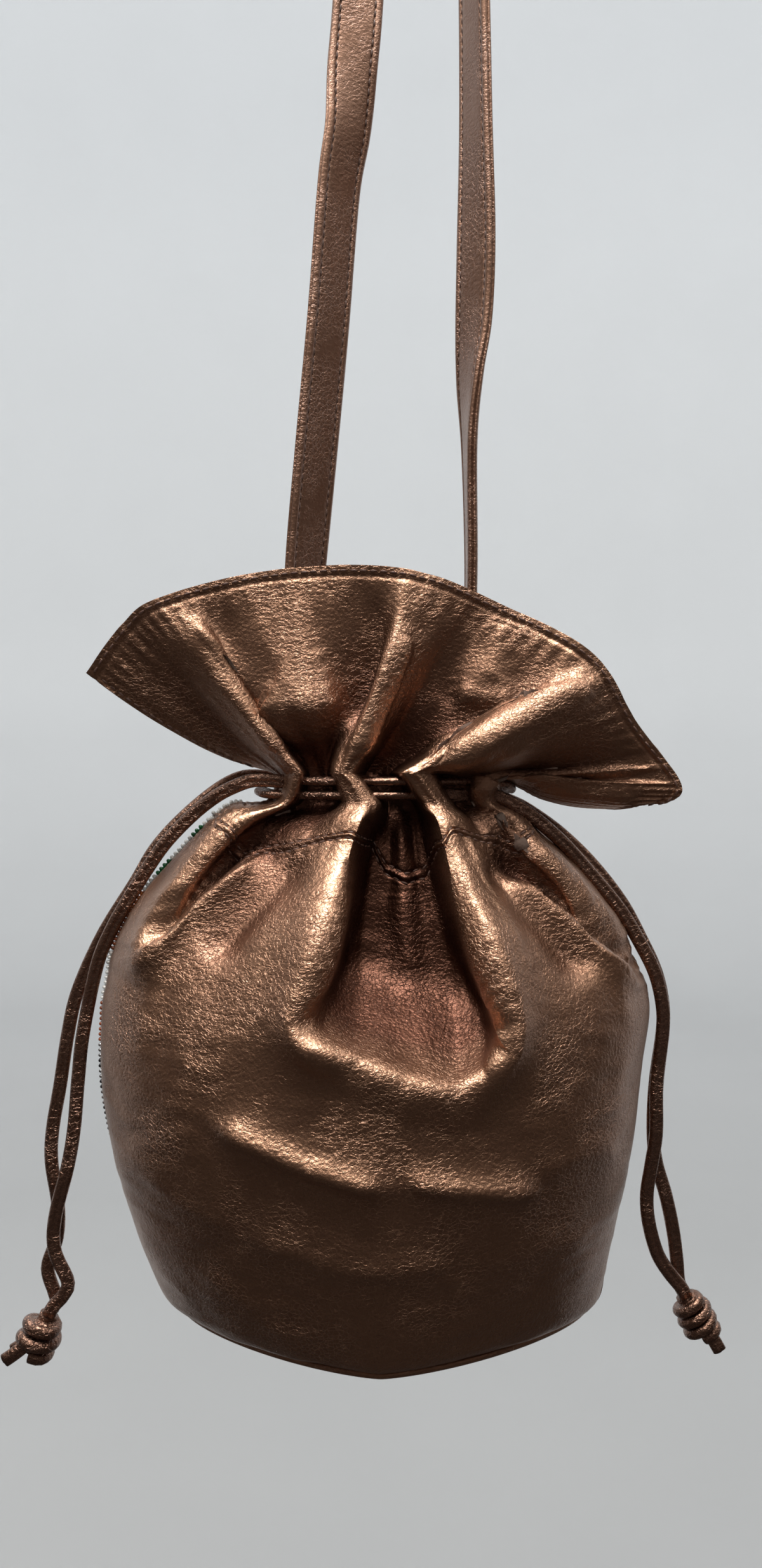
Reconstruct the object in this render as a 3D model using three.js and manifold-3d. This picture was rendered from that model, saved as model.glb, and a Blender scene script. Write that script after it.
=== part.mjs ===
// A soft bronze leather drawstring purse, shown hanging by its shoulder strap.
// Millimetres, +Z up, +X to the right as seen from the plain side, which faces -Y.
// The origin is the hang point: the middle of the strap's inner face at the top of its loop.
import * as THREE from "three";
import { mergeVertices } from "three/addons/utils/BufferGeometryUtils.js";
import Module from "manifold-3d";

const wasm = await Module();
wasm.setup();

// Driving dimensions.
const HANG_DROP = 570; // hang point down to the drawstring line
const HANG_SIDE = 16; // the hang point is this far to the right of the purse's middle
const LEATHER = 1.4; // wall of the two panels
const GAP = 0.3; // clearance between neighbouring pieces
const CORD = 4.4; // diameter of the rolled leather drawstrings
const SLIT_PLAY = 1; // clearance of a drawstring in its slit
const STRAP_WIDTH = 18.5;
const STRAP_THICK = 3.2;
const BASE_THICK = 2.2;
const SLIT_TOP = 5.9; // ends of the slits, from the drawstring line
const SLIT_LOW = -4.3;
const LEATHER_COLOUR = 0x7a5238;
const STRAP_COLOUR = 0x4a3226;

// Level sections of the body, from the base seam up to the top of the cinched neck.
// drop: below the drawstring line. left, right: to the side seams. depth: to the crests of the folds.
// gather: how far the folds' floors lie behind the crests.
// basin: how much further the middle floor lies back. power: 2 is an ellipse, less is more pointed.
// pull: 1 where the folds keep the spacing of the neck, 0 where they keep the spacing of the body.
const SECTIONS = [
  { drop: 189, left: 77, right: 80, depth: 54, gather: 0, basin: 0, power: 1.4, pull: 0 },
  { drop: 167, left: 86, right: 83, depth: 60.5, gather: 0, basin: 0, power: 1.65, pull: 0 },
  { drop: 145, left: 92, right: 87, depth: 65, gather: 0, basin: 0, power: 1.85, pull: 0 },
  { drop: 121, left: 98, right: 91, depth: 67.5, gather: 0, basin: 0, power: 2, pull: 0 },
  { drop: 98, left: 101, right: 94.5, depth: 67.5, gather: 0, basin: 2, power: 2, pull: 0 },
  { drop: 75, left: 100.5, right: 97, depth: 63.5, gather: 3, basin: 20, power: 2, pull: 0 },
  { drop: 53, left: 94.5, right: 86.5, depth: 56, gather: 9, basin: 21, power: 2, pull: 0 },
  { drop: 35, left: 84, right: 73.5, depth: 47, gather: 16, basin: 11, power: 2, pull: 0.1 },
  { drop: 19, left: 69, right: 59.5, depth: 39.5, gather: 22, basin: 2, power: 2, pull: 0.4 },
  { drop: 10, left: 53, right: 49, depth: 36.5, gather: 25, basin: 0, power: 2, pull: 0.8 },
  { drop: 4, left: 39, right: 42.2, depth: 31, gather: 22, basin: 0, power: 2, pull: 1 },
  { drop: -6, left: 38.6, right: 42, depth: 31, gather: 22, basin: 0, power: 2, pull: 1 },
];
const NECK = SECTIONS.length - 1;

// Crests and floors of the gathers, in turn, across a panel from the left seam to the right seam.
// neck, body: bearing in degrees. sink: share of the section's gather. rim: the top edge of the flap.
// droop: sag of the flap half way up.
const FOLDS = [
  { name: "left seam", neck: -90, body: -90, sink: 0, rimX: -105.7, rimY: -8, rimZ: 42.1, droop: 5 },
  { name: "left hollow", neck: -72, body: -72, sink: 0.35, rimX: -91.9, rimY: -14, rimZ: 58.3, droop: 2 },
  { name: "crest 1", neck: -55, body: -53, sink: 0, rimX: -77.4, rimY: -19, rimZ: 67.5, droop: 0 },
  { name: "floor 1", neck: -34, body: -32, sink: 0.9, rimX: -38, rimY: -15, rimZ: 77.8, droop: 0 },
  { name: "crest 2", neck: -13, body: -12, sink: 0, rimX: 8.9, rimY: -19, rimZ: 77.6, droop: 0 },
  { name: "floor 2", neck: 5, body: 7, sink: 1, rimX: 44.8, rimY: -14.5, rimZ: 64.7, droop: 0 },
  { name: "crest 3", neck: 23, body: 25, sink: 0, rimX: 73.6, rimY: -22, rimZ: 47.5, droop: 0 },
  { name: "floor 3", neck: 43, body: 41, sink: 0.6, rimX: 90.1, rimY: -15, rimZ: 24.2, droop: 0 },
  { name: "crest 4", neck: 61, body: 58, sink: 0, rimX: 106.3, rimY: -13, rimZ: 2.5, droop: 1 },
  { name: "right hollow", neck: 76, body: 74, sink: 0.35, rimX: 101.8, rimY: -10, rimZ: -4.6, droop: 4 },
  { name: "right seam", neck: 90, body: 90, sink: 0, rimX: 93.2, rimY: -6, rimZ: -5, droop: 5 },
];
const PLEATS = (FOLDS.length - 1) / 2;
const MIDDLE_PLEAT = 2; // the pleat with the basin
const FAR_RIM = 0.93; // height of the far flap, as a share of the near flap

// Long creases of the plain side, as soft ridges on the body. x and z are seen from the front, from the
// drawstring line; rise is the height of the ridge and reach its half width.
const CREASES = [
  { name: "lip left", x0: -27, z0: -68, xm: -22, zm: -89, x1: 17, z1: -93, rise: 4.5, reach: 7 },
  { name: "lip right", x0: 17, z0: -93, xm: 42, zm: -91, x1: 40, z1: -66, rise: 4.5, reach: 7 },
  { name: "left knuckle", x0: -10, z0: -18, xm: -15, zm: -46, x1: -26, z1: -72, rise: 6, reach: 8 },
  { name: "right knuckle", x0: 26, z0: -20, xm: 31, zm: -46, x1: 40, z1: -72, rise: 6, reach: 8 },
  { name: "left shoulder", x0: -35, z0: -21, xm: -52, zm: -33, x1: -84, z1: -60, rise: 4.5, reach: 6 },
  { name: "right shoulder", x0: 37, z0: -25, xm: 60, zm: -42, x1: 92, z1: -72, rise: 4.5, reach: 6 },
  { name: "left smile", x0: -50, z0: -100, xm: -25, zm: -107, x1: 2, z1: -117, rise: 3, reach: 6 },
  { name: "right smile", x0: 4, z0: -116, xm: 24, zm: -118, x1: 46, z1: -119, rise: 2.5, reach: 6 },
  { name: "low smile", x0: -45, z0: -136, xm: -10, zm: -151, x1: 27, z1: -147, rise: 2.5, reach: 7 },
];
const CREASE_POINTS = 16;
const CREASE_END = 0.35; // share of its rise that a crease keeps at its ends

// The strap's middle line, from its left end inside the neck, over the hang point, to its right end.
// x, z: from the middle of the drawstring line.
// turn: 90 where its edge faces the front, 0 where its face does.
const STRAP = [
  { x: -31.4, z: -18, turn: 90 },
  { x: -31, z: 6, turn: 90 },
  { x: -30, z: 40, turn: 66 },
  { x: -27.6, z: 80, turn: 47 },
  { x: -23.5, z: 125, turn: 43 },
  { x: -19.2, z: 171, turn: 43 },
  { x: -15.3, z: 220, turn: 42 },
  { x: -12, z: 242, turn: 34 },
  { x: -10.4, z: 264, turn: 16 },
  { x: -8.5, z: 286, turn: 12 },
  { x: -5, z: 340, turn: 32 },
  { x: 0, z: 420, turn: 60 },
  { x: 3.4, z: 500, turn: 84 },
  { x: 4.2, z: 540, turn: 90 },
  { x: 4.4, z: 560, turn: 90 },
  { x: 7.8, z: 568.2, turn: 90 },
  { x: 16, z: 571.6, turn: 90 },
  { x: 24.2, z: 568.2, turn: 90 },
  { x: 27.6, z: 560, turn: 90 },
  { x: 27.9, z: 540, turn: 90 },
  { x: 28.4, z: 500, turn: 86 },
  { x: 30.8, z: 420, turn: 74 },
  { x: 33, z: 340, turn: 66 },
  { x: 34, z: 286, turn: 64 },
  { x: 34.5, z: 240, turn: 60 },
  { x: 34.6, z: 200, turn: 51 },
  { x: 33.8, z: 171, turn: 54 },
  { x: 32.4, z: 150, turn: 70 },
  { x: 32.2, z: 125, turn: 86 },
  { x: 32.8, z: 80, turn: 90 },
  { x: 31.6, z: 40, turn: 90 },
  { x: 30.2, z: 6, turn: 90 },
  { x: 30.4, z: -18, turn: 90 },
];

// Routes of the drawstrings. The held stretches run round the neck through the folds.
// The free ends leave the outer folds at the sides and hang to the knots.
const HELD_LEFT = [
  { x: -26.8, y: -14.2, z: 3.2 },
  { x: -14, y: -19.5, z: 3.2 },
  { x: 0, y: -21.5, z: 3.2 },
  { x: 14, y: -19.5, z: 3.2 },
  { x: 25, y: -15, z: 3.2 },
  { x: 33.5, y: -11.3, z: 3.2 },
  { x: 43, y: -10.3, z: 2.4 },
  { x: 46.2, y: -5, z: 0.9 },
  { x: 46.4, y: 0, z: 0.2 },
];
const HELD_RIGHT = [
  { x: 27.2, y: -14, z: -1.6 },
  { x: 14, y: -19.5, z: -1.6 },
  { x: 0, y: -21.5, z: -1.6 },
  { x: -14, y: -19.5, z: -1.6 },
  { x: -24, y: -15.3, z: -1.6 },
  { x: -33.5, y: -12, z: -1.6 },
  { x: -40.2, y: -10, z: -1.2 },
  { x: -43.2, y: -4.8, z: -0.4 },
  { x: -43.6, y: 0, z: 0 },
];
const FREE_LEFT_NEAR = [
  { x: -27.2, y: -14.05, z: 3.2 },
  { x: -33.5, y: -12, z: 3.2 },
  { x: -40, y: -11.5, z: 3.7 },
  { x: -46, y: -10.5, z: 3.6 },
  { x: -52, y: -9.5, z: 1.6 },
  { x: -58.9, y: -8, z: -1.9 },
  { x: -67.8, y: -6, z: -8.7 },
  { x: -77.5, y: -5, z: -18.6 },
  { x: -85, y: -4, z: -29 },
  { x: -92.2, y: -3.4, z: -40.6 },
  { x: -98, y: -3, z: -51 },
  { x: -103, y: -2.8, z: -63.5 },
  { x: -108, y: -2.6, z: -87.6 },
  { x: -109.9, y: -2.6, z: -105 },
  { x: -111.3, y: -2.6, z: -122 },
  { x: -113.6, y: -2.6, z: -136 },
  { x: -118.2, y: -2.6, z: -154.6 },
  { x: -118.4, y: -2.6, z: -166.7 },
  { x: -113.6, y: -2.6, z: -178 },
  { x: -115.2, y: -2.6, z: -183 },
  { x: -118.9, y: -2.5, z: -187.1 },
  { x: -120.7, y: -2.5, z: -190.4 },
];
const FREE_LEFT_FAR = [
  { x: -27.2, y: 14.05, z: 3.2 },
  { x: -33.5, y: 12, z: 3.2 },
  { x: -40, y: 11.2, z: 4.2 },
  { x: -46, y: 10, z: 5.4 },
  { x: -53, y: 8, z: 4.6 },
  { x: -61.7, y: 6, z: -0.4 },
  { x: -73.5, y: 4.5, z: -10.6 },
  { x: -83, y: 4, z: -21.3 },
  { x: -90.4, y: 3.6, z: -33.8 },
  { x: -102.2, y: 3, z: -53 },
  { x: -111.3, y: 2.6, z: -73.5 },
  { x: -115, y: 2.6, z: -89.5 },
  { x: -117.8, y: 2.6, z: -108 },
  { x: -120.5, y: 2.6, z: -123.8 },
  { x: -121, y: 2.6, z: -136 },
  { x: -118.6, y: 2.6, z: -152 },
  { x: -119, y: 2.6, z: -164 },
  { x: -122.4, y: 2.6, z: -175 },
  { x: -119.9, y: 2.5, z: -184 },
  { x: -119.2, y: 2.5, z: -187.1 },
  { x: -120.7, y: 2.5, z: -190.4 },
];
const FREE_RIGHT_NEAR = [
  { x: 27.6, y: -13.8, z: -1.6 },
  { x: 33.2, y: -11.4, z: -1.6 },
  { x: 39.6, y: -10.6, z: -1.7 },
  { x: 44.5, y: -10.8, z: -3.4 },
  { x: 49, y: -10.6, z: -5.8 },
  { x: 55, y: -9, z: -9.8 },
  { x: 65.3, y: -6, z: -18.6 },
  { x: 75.6, y: -3.8, z: -29.8 },
  { x: 86.8, y: -3, z: -43.4 },
  { x: 94.2, y: -2.7, z: -55.7 },
  { x: 99.4, y: -2.7, z: -66.3 },
  { x: 102, y: -2.7, z: -77.4 },
  { x: 102.2, y: -2.7, z: -87 },
  { x: 100, y: -2.7, z: -106.4 },
  { x: 99.8, y: -2.7, z: -124 },
  { x: 98, y: -2.7, z: -136 },
  { x: 96.4, y: -2.7, z: -146.5 },
  { x: 97.1, y: -2.7, z: -156.5 },
  { x: 100.1, y: -2.7, z: -167.5 },
  { x: 104.2, y: -2.6, z: -174.4 },
  { x: 108.9, y: -2.5, z: -180.2 },
  { x: 110.8, y: -2.5, z: -183.7 },
];
const FREE_RIGHT_FAR = [
  { x: 27.6, y: 13.8, z: -1.6 },
  { x: 33.2, y: 11.4, z: -1.6 },
  { x: 39.6, y: 10.4, z: -1.8 },
  { x: 44.5, y: 10.8, z: -2.6 },
  { x: 49, y: 10.6, z: -4.2 },
  { x: 55, y: 9, z: -7.4 },
  { x: 66, y: 6.5, z: -15.5 },
  { x: 77.5, y: 4.6, z: -26.8 },
  { x: 88.4, y: 3.4, z: -41 },
  { x: 95.6, y: 2.8, z: -54.6 },
  { x: 100.8, y: 2.7, z: -66 },
  { x: 103.4, y: 2.7, z: -77.4 },
  { x: 103.4, y: 2.7, z: -88 },
  { x: 100.8, y: 2.7, z: -107 },
  { x: 100, y: 2.7, z: -124 },
  { x: 101, y: 2.7, z: -136 },
  { x: 104.6, y: 2.7, z: -148.6 },
  { x: 107.2, y: 2.7, z: -161 },
  { x: 108.6, y: 2.7, z: -172 },
  { x: 109.2, y: 2.5, z: -179.9 },
  { x: 110.8, y: 2.5, z: -183.7 },
];

const KNOT_CORE = 4.8; // radius of the cords inside a knot
const KNOT_TILT = 0.12; // tilt of the turns, in radians
const TAIL_SPREAD = 0.5; // lean of a cut end, in radians
const TAIL_SIDE = 1.5; // a cut end starts this far from the middle line

// Knots, each a stack of cord turns about a leaning middle line.
// along: distance down that line from its middle.
const LEFT_KNOT = {
  x: -124.7,
  z: -199.1,
  lean: -0.434,
  half: 9,
  turns: [
    { along: -4.6, ring: 3.6, tube: 2.9 },
    { along: 1.8, ring: 4.9, tube: 3.3 },
  ],
  tails: [
    { side: -1, y: -2.6, length: 13.5 },
    { side: -1, y: 2.6, length: 11.5 },
  ],
};
const RIGHT_KNOT = {
  x: 115,
  z: -192,
  lean: 0.467,
  half: 9,
  turns: [
    { along: -5, ring: 3.2, tube: 2.7 },
    { along: -0.2, ring: 3.9, tube: 2.8 },
    { along: 4.6, ring: 3.3, tube: 2.7 },
  ],
  tails: [
    { side: 0.2, y: -2.4, length: 13.5 },
    { side: 0.2, y: 2.4, length: 12 },
  ],
};

// Mesh steps.
const NEAR_STEPS = { across: 40, body: 21, flap: 6 };
const FAR_STEPS = { across: 30, body: 12, flap: 5 };
const CORD_SIDES = 8;
const CORD_STEP = 2.6 * CORD;
const STRAP_STEPS = 2 * (STRAP.length - 1);
const KNOT_SIDES = 12;
const TURN_SIDES = 6;
const BASE_SIDES = 48;
const SLIT_STEPS = 16;
const SLIT_CORNER = 1.6; // cut corners of the slits' outline
// Small steps over which slopes are measured: across the folds, up a panel and along the strap.
const ACROSS_STEP = 0.03;
const UP_STEP = 0.006;
const ALONG_STEP = 0.05;

const mix = (a, b, t) => a + (b - a) * t;
const clamp = THREE.MathUtils.clamp;
const radians = THREE.MathUtils.degToRad;
const vec = (p) => new THREE.Vector3(p.x, p.y, p.z);

// A table's column as a smooth curve through its rows; t counts rows.
function smooth(rows, column, t) {
  const i = clamp(Math.floor(t), 0, rows.length - 2);
  const at = (k) => rows[clamp(k, 0, rows.length - 1)][column];
  const f = t - i;
  const m0 = (at(i + 1) - at(i - 1)) / 2;
  const m1 = (at(i + 2) - at(i)) / 2;
  const f2 = f * f;
  const f3 = f2 * f;
  const ends = (2 * f3 - 3 * f2 + 1) * at(i) + (3 * f2 - 2 * f3) * at(i + 1);
  return ends + (f3 - 2 * f2 + f) * m0 + (f3 - f2) * m1;
}

// A point of the body's wall. q counts pleats from the left seam to the right seam; t counts sections.
function bodyPoint(q, t) {
  const section = (column) => smooth(SECTIONS, column, t);
  const bearing = radians(mix(smooth(FOLDS, "body", 2 * q), smooth(FOLDS, "neck", 2 * q), section("pull")));
  const bend = 2 / section("power");
  const side = Math.sin(bearing);
  const front = Math.max(Math.cos(bearing), 0);
  const reach = side < 0 ? section("left") : section("right");
  const pleat = clamp(Math.floor(q), 0, PLEATS - 1);
  const basin = pleat === MIDDLE_PLEAT ? section("basin") : 0;
  const deepest = section("gather") * FOLDS[2 * pleat + 1].sink + basin;
  const sink = deepest * (0.5 - 0.5 * Math.cos(2 * Math.PI * q));
  return new THREE.Vector3(
    Math.sign(side) * reach * Math.abs(side) ** bend,
    -(section("depth") - sink) * front ** bend,
    -section("drop"),
  );
}

// A point of the flap above the neck; w is 0 at the neck and 1 at the rim.
function flapPoint(q, w, rimShare) {
  const rim = new THREE.Vector3(
    smooth(FOLDS, "rimX", 2 * q),
    smooth(FOLDS, "rimY", 2 * q),
    smooth(FOLDS, "rimZ", 2 * q),
  );
  const neck = bodyPoint(q, NECK);
  const point = neck.clone().lerp(rim, w * rimShare);
  point.z -= smooth(FOLDS, "droop", 2 * q) * Math.sin(Math.PI * w);
  return point;
}

const creaseLines = CREASES.map((row) => ({
  ...row,
  points: new THREE.QuadraticBezierCurve(
    new THREE.Vector2(row.x0, row.z0),
    new THREE.Vector2(row.xm, row.zm),
    new THREE.Vector2(row.x1, row.z1),
  ).getPoints(CREASE_POINTS),
}));

// Height of the creases over a point of the plain side, fading out at the ends of each crease.
function creaseHeight(point) {
  const here = new THREE.Vector2(point.x, point.z);
  let height = 0;
  for (const crease of creaseLines) {
    let nearest = Infinity;
    let along = 0;
    crease.points.forEach((p, i) => {
      const away = p.distanceTo(here);
      if (away < nearest) {
        nearest = away;
        along = i / CREASE_POINTS;
      }
    });
    const fade = mix(CREASE_END, 1, Math.sin(Math.PI * along));
    height = Math.max(height, crease.rise * fade * Math.exp(-((nearest / crease.reach) ** 2)));
  }
  return height;
}

// A panel, from its base seam to its rim.
// s runs from 0 at the base seam over 1 at the neck to 2 at the rim.
function panelSurface(near) {
  const base = (q, s) => {
    const point = s <= 1 ? bodyPoint(q, s * NECK) : flapPoint(q, s - 1, near ? 1 : FAR_RIM);
    point.y -= GAP / 2;
    return point;
  };
  const normal = (q, s, of) => {
    const across = of(Math.min(q + ACROSS_STEP, PLEATS), s).sub(of(Math.max(q - ACROSS_STEP, 0), s));
    const up = of(q, Math.min(s + UP_STEP, 2)).sub(of(q, Math.max(s - UP_STEP, 0)));
    return across.cross(up).normalize();
  };
  const shaped = (q, s) => {
    const point = base(q, s);
    if (near && s < 1) point.addScaledVector(normal(q, s, base), creaseHeight(point));
    return point;
  };
  return (q, s, inset) => shaped(q, s).addScaledVector(normal(q, s, shaped), -inset);
}

const solidOf = (geometry) => {
  const bare = new THREE.BufferGeometry().setAttribute("position", geometry.getAttribute("position"));
  const merged = mergeVertices(geometry.index ? bare.setIndex(geometry.index) : bare, 1e-3);
  return new wasm.Manifold(
    new wasm.Mesh({
      numProp: 3,
      vertProperties: merged.attributes.position.array,
      triVerts: new Uint32Array(merged.index.array),
    }),
  );
};

const geometryOf = (solid) => {
  const mesh = solid.getMesh();
  const geometry = new THREE.BufferGeometry();
  geometry.setAttribute("position", new THREE.BufferAttribute(mesh.vertProperties, 3));
  geometry.setIndex(new THREE.BufferAttribute(mesh.triVerts, 1));
  geometry.computeVertexNormals();
  return geometry;
};

// Moves each corner of a box to its place on a bent piece.
function bend(box, place) {
  const corners = box.getAttribute("position");
  const at = new THREE.Vector3();
  for (let i = 0; i < corners.count; i++) {
    const p = place(at.fromBufferAttribute(corners, i));
    corners.setXYZ(i, p.x, p.y, p.z);
  }
  return box;
}

// A panel's wall: a flat slab laid on the panel's surface, its outer face first.
function panel(near, steps) {
  const surface = panelSurface(near);
  const rows = steps.body + steps.flap;
  const box = new THREE.BoxGeometry(1, 1, 1, steps.across, 1, rows);
  return bend(box, (corner) => {
    const row = Math.round((corner.z + 0.5) * rows);
    const s = row <= steps.body ? row / steps.body : 1 + (row - steps.body) / steps.flap;
    const q = PLEATS * (near ? corner.x + 0.5 : 0.5 - corner.x);
    const outer = corner.y < 0;
    const point = surface(q, s, outer ? 0 : LEATHER);
    if (!near) point.y = -point.y;
    return point;
  });
}

// A round cord along a route.
function cord(route, diameter) {
  const path = new THREE.CatmullRomCurve3(route.map(vec), false, "centripetal");
  const ring = [];
  for (let i = 0; i < CORD_SIDES; i++) {
    const turn = (2 * Math.PI * i) / CORD_SIDES;
    ring.push(new THREE.Vector2(Math.cos(turn), Math.sin(turn)).multiplyScalar(diameter / 2));
  }
  return new THREE.ExtrudeGeometry(new THREE.Shape(ring), {
    steps: Math.ceil(path.getLength() / CORD_STEP),
    bevelEnabled: false,
    extrudePath: path,
  });
}

// A held stretch runs out along the near side and back along the far side.
function heldRoute(rows) {
  const back = rows.slice(0, -1).reverse().map((p) => ({ ...p, y: -p.y }));
  return [...rows, ...back];
}

function strap() {
  const end = STRAP.length - 1;
  const box = new THREE.BoxGeometry(STRAP_WIDTH, STRAP_THICK, 1, 1, 1, STRAP_STEPS);
  const middle = (t) => new THREE.Vector3(smooth(STRAP, "x", t), 0, smooth(STRAP, "z", t));
  return bend(box, (corner) => {
    const t = (corner.z + 0.5) * end;
    const ahead = middle(Math.min(t + ALONG_STEP, end));
    const along = ahead.sub(middle(Math.max(t - ALONG_STEP, 0))).normalize();
    const inward = new THREE.Vector3(0, 1, 0).cross(along);
    const lean = radians(90 - smooth(STRAP, "turn", t));
    const face = inward.multiplyScalar(Math.cos(lean));
    face.y -= Math.sin(lean);
    const wide = along.clone().cross(face);
    return middle(t).addScaledVector(wide, corner.x).addScaledVector(face, -corner.y);
  });
}

function knot(form) {
  const core = new THREE.CylinderGeometry(KNOT_CORE, KNOT_CORE, 2 * form.half, KNOT_SIDES);
  let solid = solidOf(core);
  for (const turn of form.turns) {
    const ring = new THREE.TorusGeometry(turn.ring, turn.tube, TURN_SIDES, KNOT_SIDES);
    ring.rotateX(Math.PI / 2);
    ring.rotateZ(KNOT_TILT);
    ring.translate(0, -turn.along, 0);
    solid = solid.add(solidOf(ring));
  }
  for (const tail of form.tails) {
    const end = new THREE.CylinderGeometry(CORD / 2, CORD / 2, tail.length, CORD_SIDES);
    end.translate(0, -tail.length / 2, 0);
    end.rotateZ(TAIL_SPREAD * tail.side);
    end.translate(TAIL_SIDE * tail.side, 0, tail.y);
    solid = solid.add(solidOf(end));
  }
  const geometry = geometryOf(solid);
  geometry.rotateX(Math.PI / 2);
  geometry.rotateY(-form.lean);
  geometry.translate(form.x, 0, form.z);
  return geometry;
}

function base() {
  const low = SECTIONS[0];
  const outline = [];
  for (let i = 0; i < BASE_SIDES; i++) {
    const turn = (2 * Math.PI * i) / BASE_SIDES;
    const [s, c] = [Math.sin(turn), Math.cos(turn)];
    const reach = s < 0 ? low.left : low.right;
    const x = Math.sign(s) * reach * Math.abs(s) ** (2 / low.power);
    const y = -Math.sign(c) * low.depth * Math.abs(c) ** (2 / low.power);
    outline.push(new THREE.Vector2(x, y));
  }
  const shape = new THREE.Shape(outline);
  const plate = new THREE.ExtrudeGeometry(shape, { depth: BASE_THICK, bevelEnabled: false });
  return plate.translate(0, 0, -low.drop - GAP - BASE_THICK);
}

const routes = {
  neck_cord_left: heldRoute(HELD_LEFT),
  neck_cord_right: heldRoute(HELD_RIGHT),
  drawstring_left_near: FREE_LEFT_NEAR,
  drawstring_left_far: FREE_LEFT_FAR,
  drawstring_right_near: FREE_RIGHT_NEAR,
  drawstring_right_far: FREE_RIGHT_FAR,
};

// The slits are where both drawstrings, one over the other, pass through the gathered panels.
const SLIT_PATH = [
  { x: -40.2, y: -10.4 },
  ...HELD_RIGHT.slice(1, 6).reverse(),
  ...HELD_LEFT.slice(4, 6),
  { x: 43, y: -10.4 },
];
function slitTool(side) {
  const middle = (SLIT_TOP + SLIT_LOW) / 2;
  const wide = CORD / 2 + SLIT_PLAY;
  const tall = (SLIT_TOP - SLIT_LOW) / 2;
  const cut = SLIT_CORNER;
  const outline = [
    [tall, wide - cut],
    [tall - cut, wide],
    [cut - tall, wide],
    [-tall, wide - cut],
    [-tall, cut - wide],
    [cut - tall, -wide],
    [tall - cut, -wide],
    [tall, cut - wide],
  ].map(([a, b]) => new THREE.Vector2(a, b));
  const route = SLIT_PATH.map((p) => new THREE.Vector3(p.x, side * p.y, middle));
  const path = new THREE.CatmullRomCurve3(route, false, "centripetal");
  return new THREE.ExtrudeGeometry(new THREE.Shape(outline), {
    steps: SLIT_STEPS,
    bevelEnabled: false,
    extrudePath: path,
  });
}
const withSlits = (geometry, side) => geometryOf(solidOf(geometry).subtract(solidOf(slitTool(side))));

const leather = new THREE.MeshStandardMaterial({
  color: LEATHER_COLOUR,
  roughness: 0.42,
  metalness: 0.7,
});
const strapLeather = new THREE.MeshStandardMaterial({
  color: STRAP_COLOUR,
  roughness: 0.5,
  metalness: 0.45,
});

const purse = new THREE.Group();
purse.name = "drawstring_purse";
purse.position.set(-HANG_SIDE, 0, -HANG_DROP);

function place(name, geometry, material) {
  const mesh = new THREE.Mesh(geometry, material);
  mesh.name = name;
  purse.add(mesh);
}

place("near_panel", withSlits(panel(true, NEAR_STEPS), 1), leather);
place("far_panel", withSlits(panel(false, FAR_STEPS), -1), leather);
place("base_panel", base(), leather);
place("shoulder_strap", strap(), strapLeather);
for (const [name, route] of Object.entries(routes)) place(name, cord(route, CORD), leather);
place("knot_left", knot(LEFT_KNOT), leather);
place("knot_right", knot(RIGHT_KNOT), leather);

const object = new THREE.Group();
object.add(purse);
export default object;
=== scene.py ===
"""Looks of a bronze leather drawstring purse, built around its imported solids."""
import math
from collections import namedtuple

import bmesh
import bpy
import numpy as np
from mathutils import Matrix, Vector, noise


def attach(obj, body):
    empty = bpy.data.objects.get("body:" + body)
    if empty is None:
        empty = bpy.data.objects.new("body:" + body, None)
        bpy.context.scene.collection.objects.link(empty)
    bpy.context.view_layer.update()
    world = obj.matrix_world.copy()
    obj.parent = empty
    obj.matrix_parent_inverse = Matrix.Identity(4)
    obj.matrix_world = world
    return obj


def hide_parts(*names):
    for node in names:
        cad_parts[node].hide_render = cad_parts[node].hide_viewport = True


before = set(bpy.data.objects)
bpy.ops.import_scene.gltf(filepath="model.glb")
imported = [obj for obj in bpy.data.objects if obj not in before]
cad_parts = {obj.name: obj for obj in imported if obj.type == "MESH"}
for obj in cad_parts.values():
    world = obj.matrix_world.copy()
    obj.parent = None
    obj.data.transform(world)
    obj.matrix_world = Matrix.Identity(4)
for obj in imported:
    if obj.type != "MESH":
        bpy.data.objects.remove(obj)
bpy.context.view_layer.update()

bl_info = {
    "name": "Drawstring purse",
    "version": (1, 0, 0),
    "blender": (4, 5, 0),
    "location": "3D View > Sidebar > Purse",
    "description": "Dresses the solids of a gathered leather purse",
    "category": "Object",
}

# Places are in millimetres from the middle of the drawstring line, +X to the right and -Y to the front.
HANG_OFFSET = np.array((-16.0, 0.0, -570.0))
MM = 0.001
BODY = "root"

# The photograph's viewpoint, from the drawstring line.
VIEW_BACK = 430.0
VIEW_HEIGHT = 2.4
VIEW_LENS = 27.05
VIEW_SENSOR = 36.0

# Level sections of the body, from the base seam up to the neck, as in the part's source.
Section = namedtuple("Section", "drop left right depth gather power pull")
SECTIONS = [Section(*row) for row in (
    (189, 77, 80, 54, 0, 1.4, 0), (167, 86, 83, 60.5, 0, 1.65, 0), (145, 92, 87, 65, 0, 1.85, 0),
    (121, 98, 91, 67.5, 0, 2, 0), (98, 101, 94.5, 67.5, 0, 2, 0), (75, 100.5, 97, 63.5, 3, 2, 0),
    (53, 94.5, 86.5, 56, 9, 2, 0), (35, 84, 73.5, 47, 16, 2, 0.1), (19, 69, 59.5, 39.5, 22, 2, 0.4),
    (10, 57, 52, 36.5, 25, 2, 0.8), (4, 41, 43, 31, 22, 2, 1), (-6, 38.6, 42, 31, 22, 2, 1),
)]
NECK = len(SECTIONS) - 1

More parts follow.
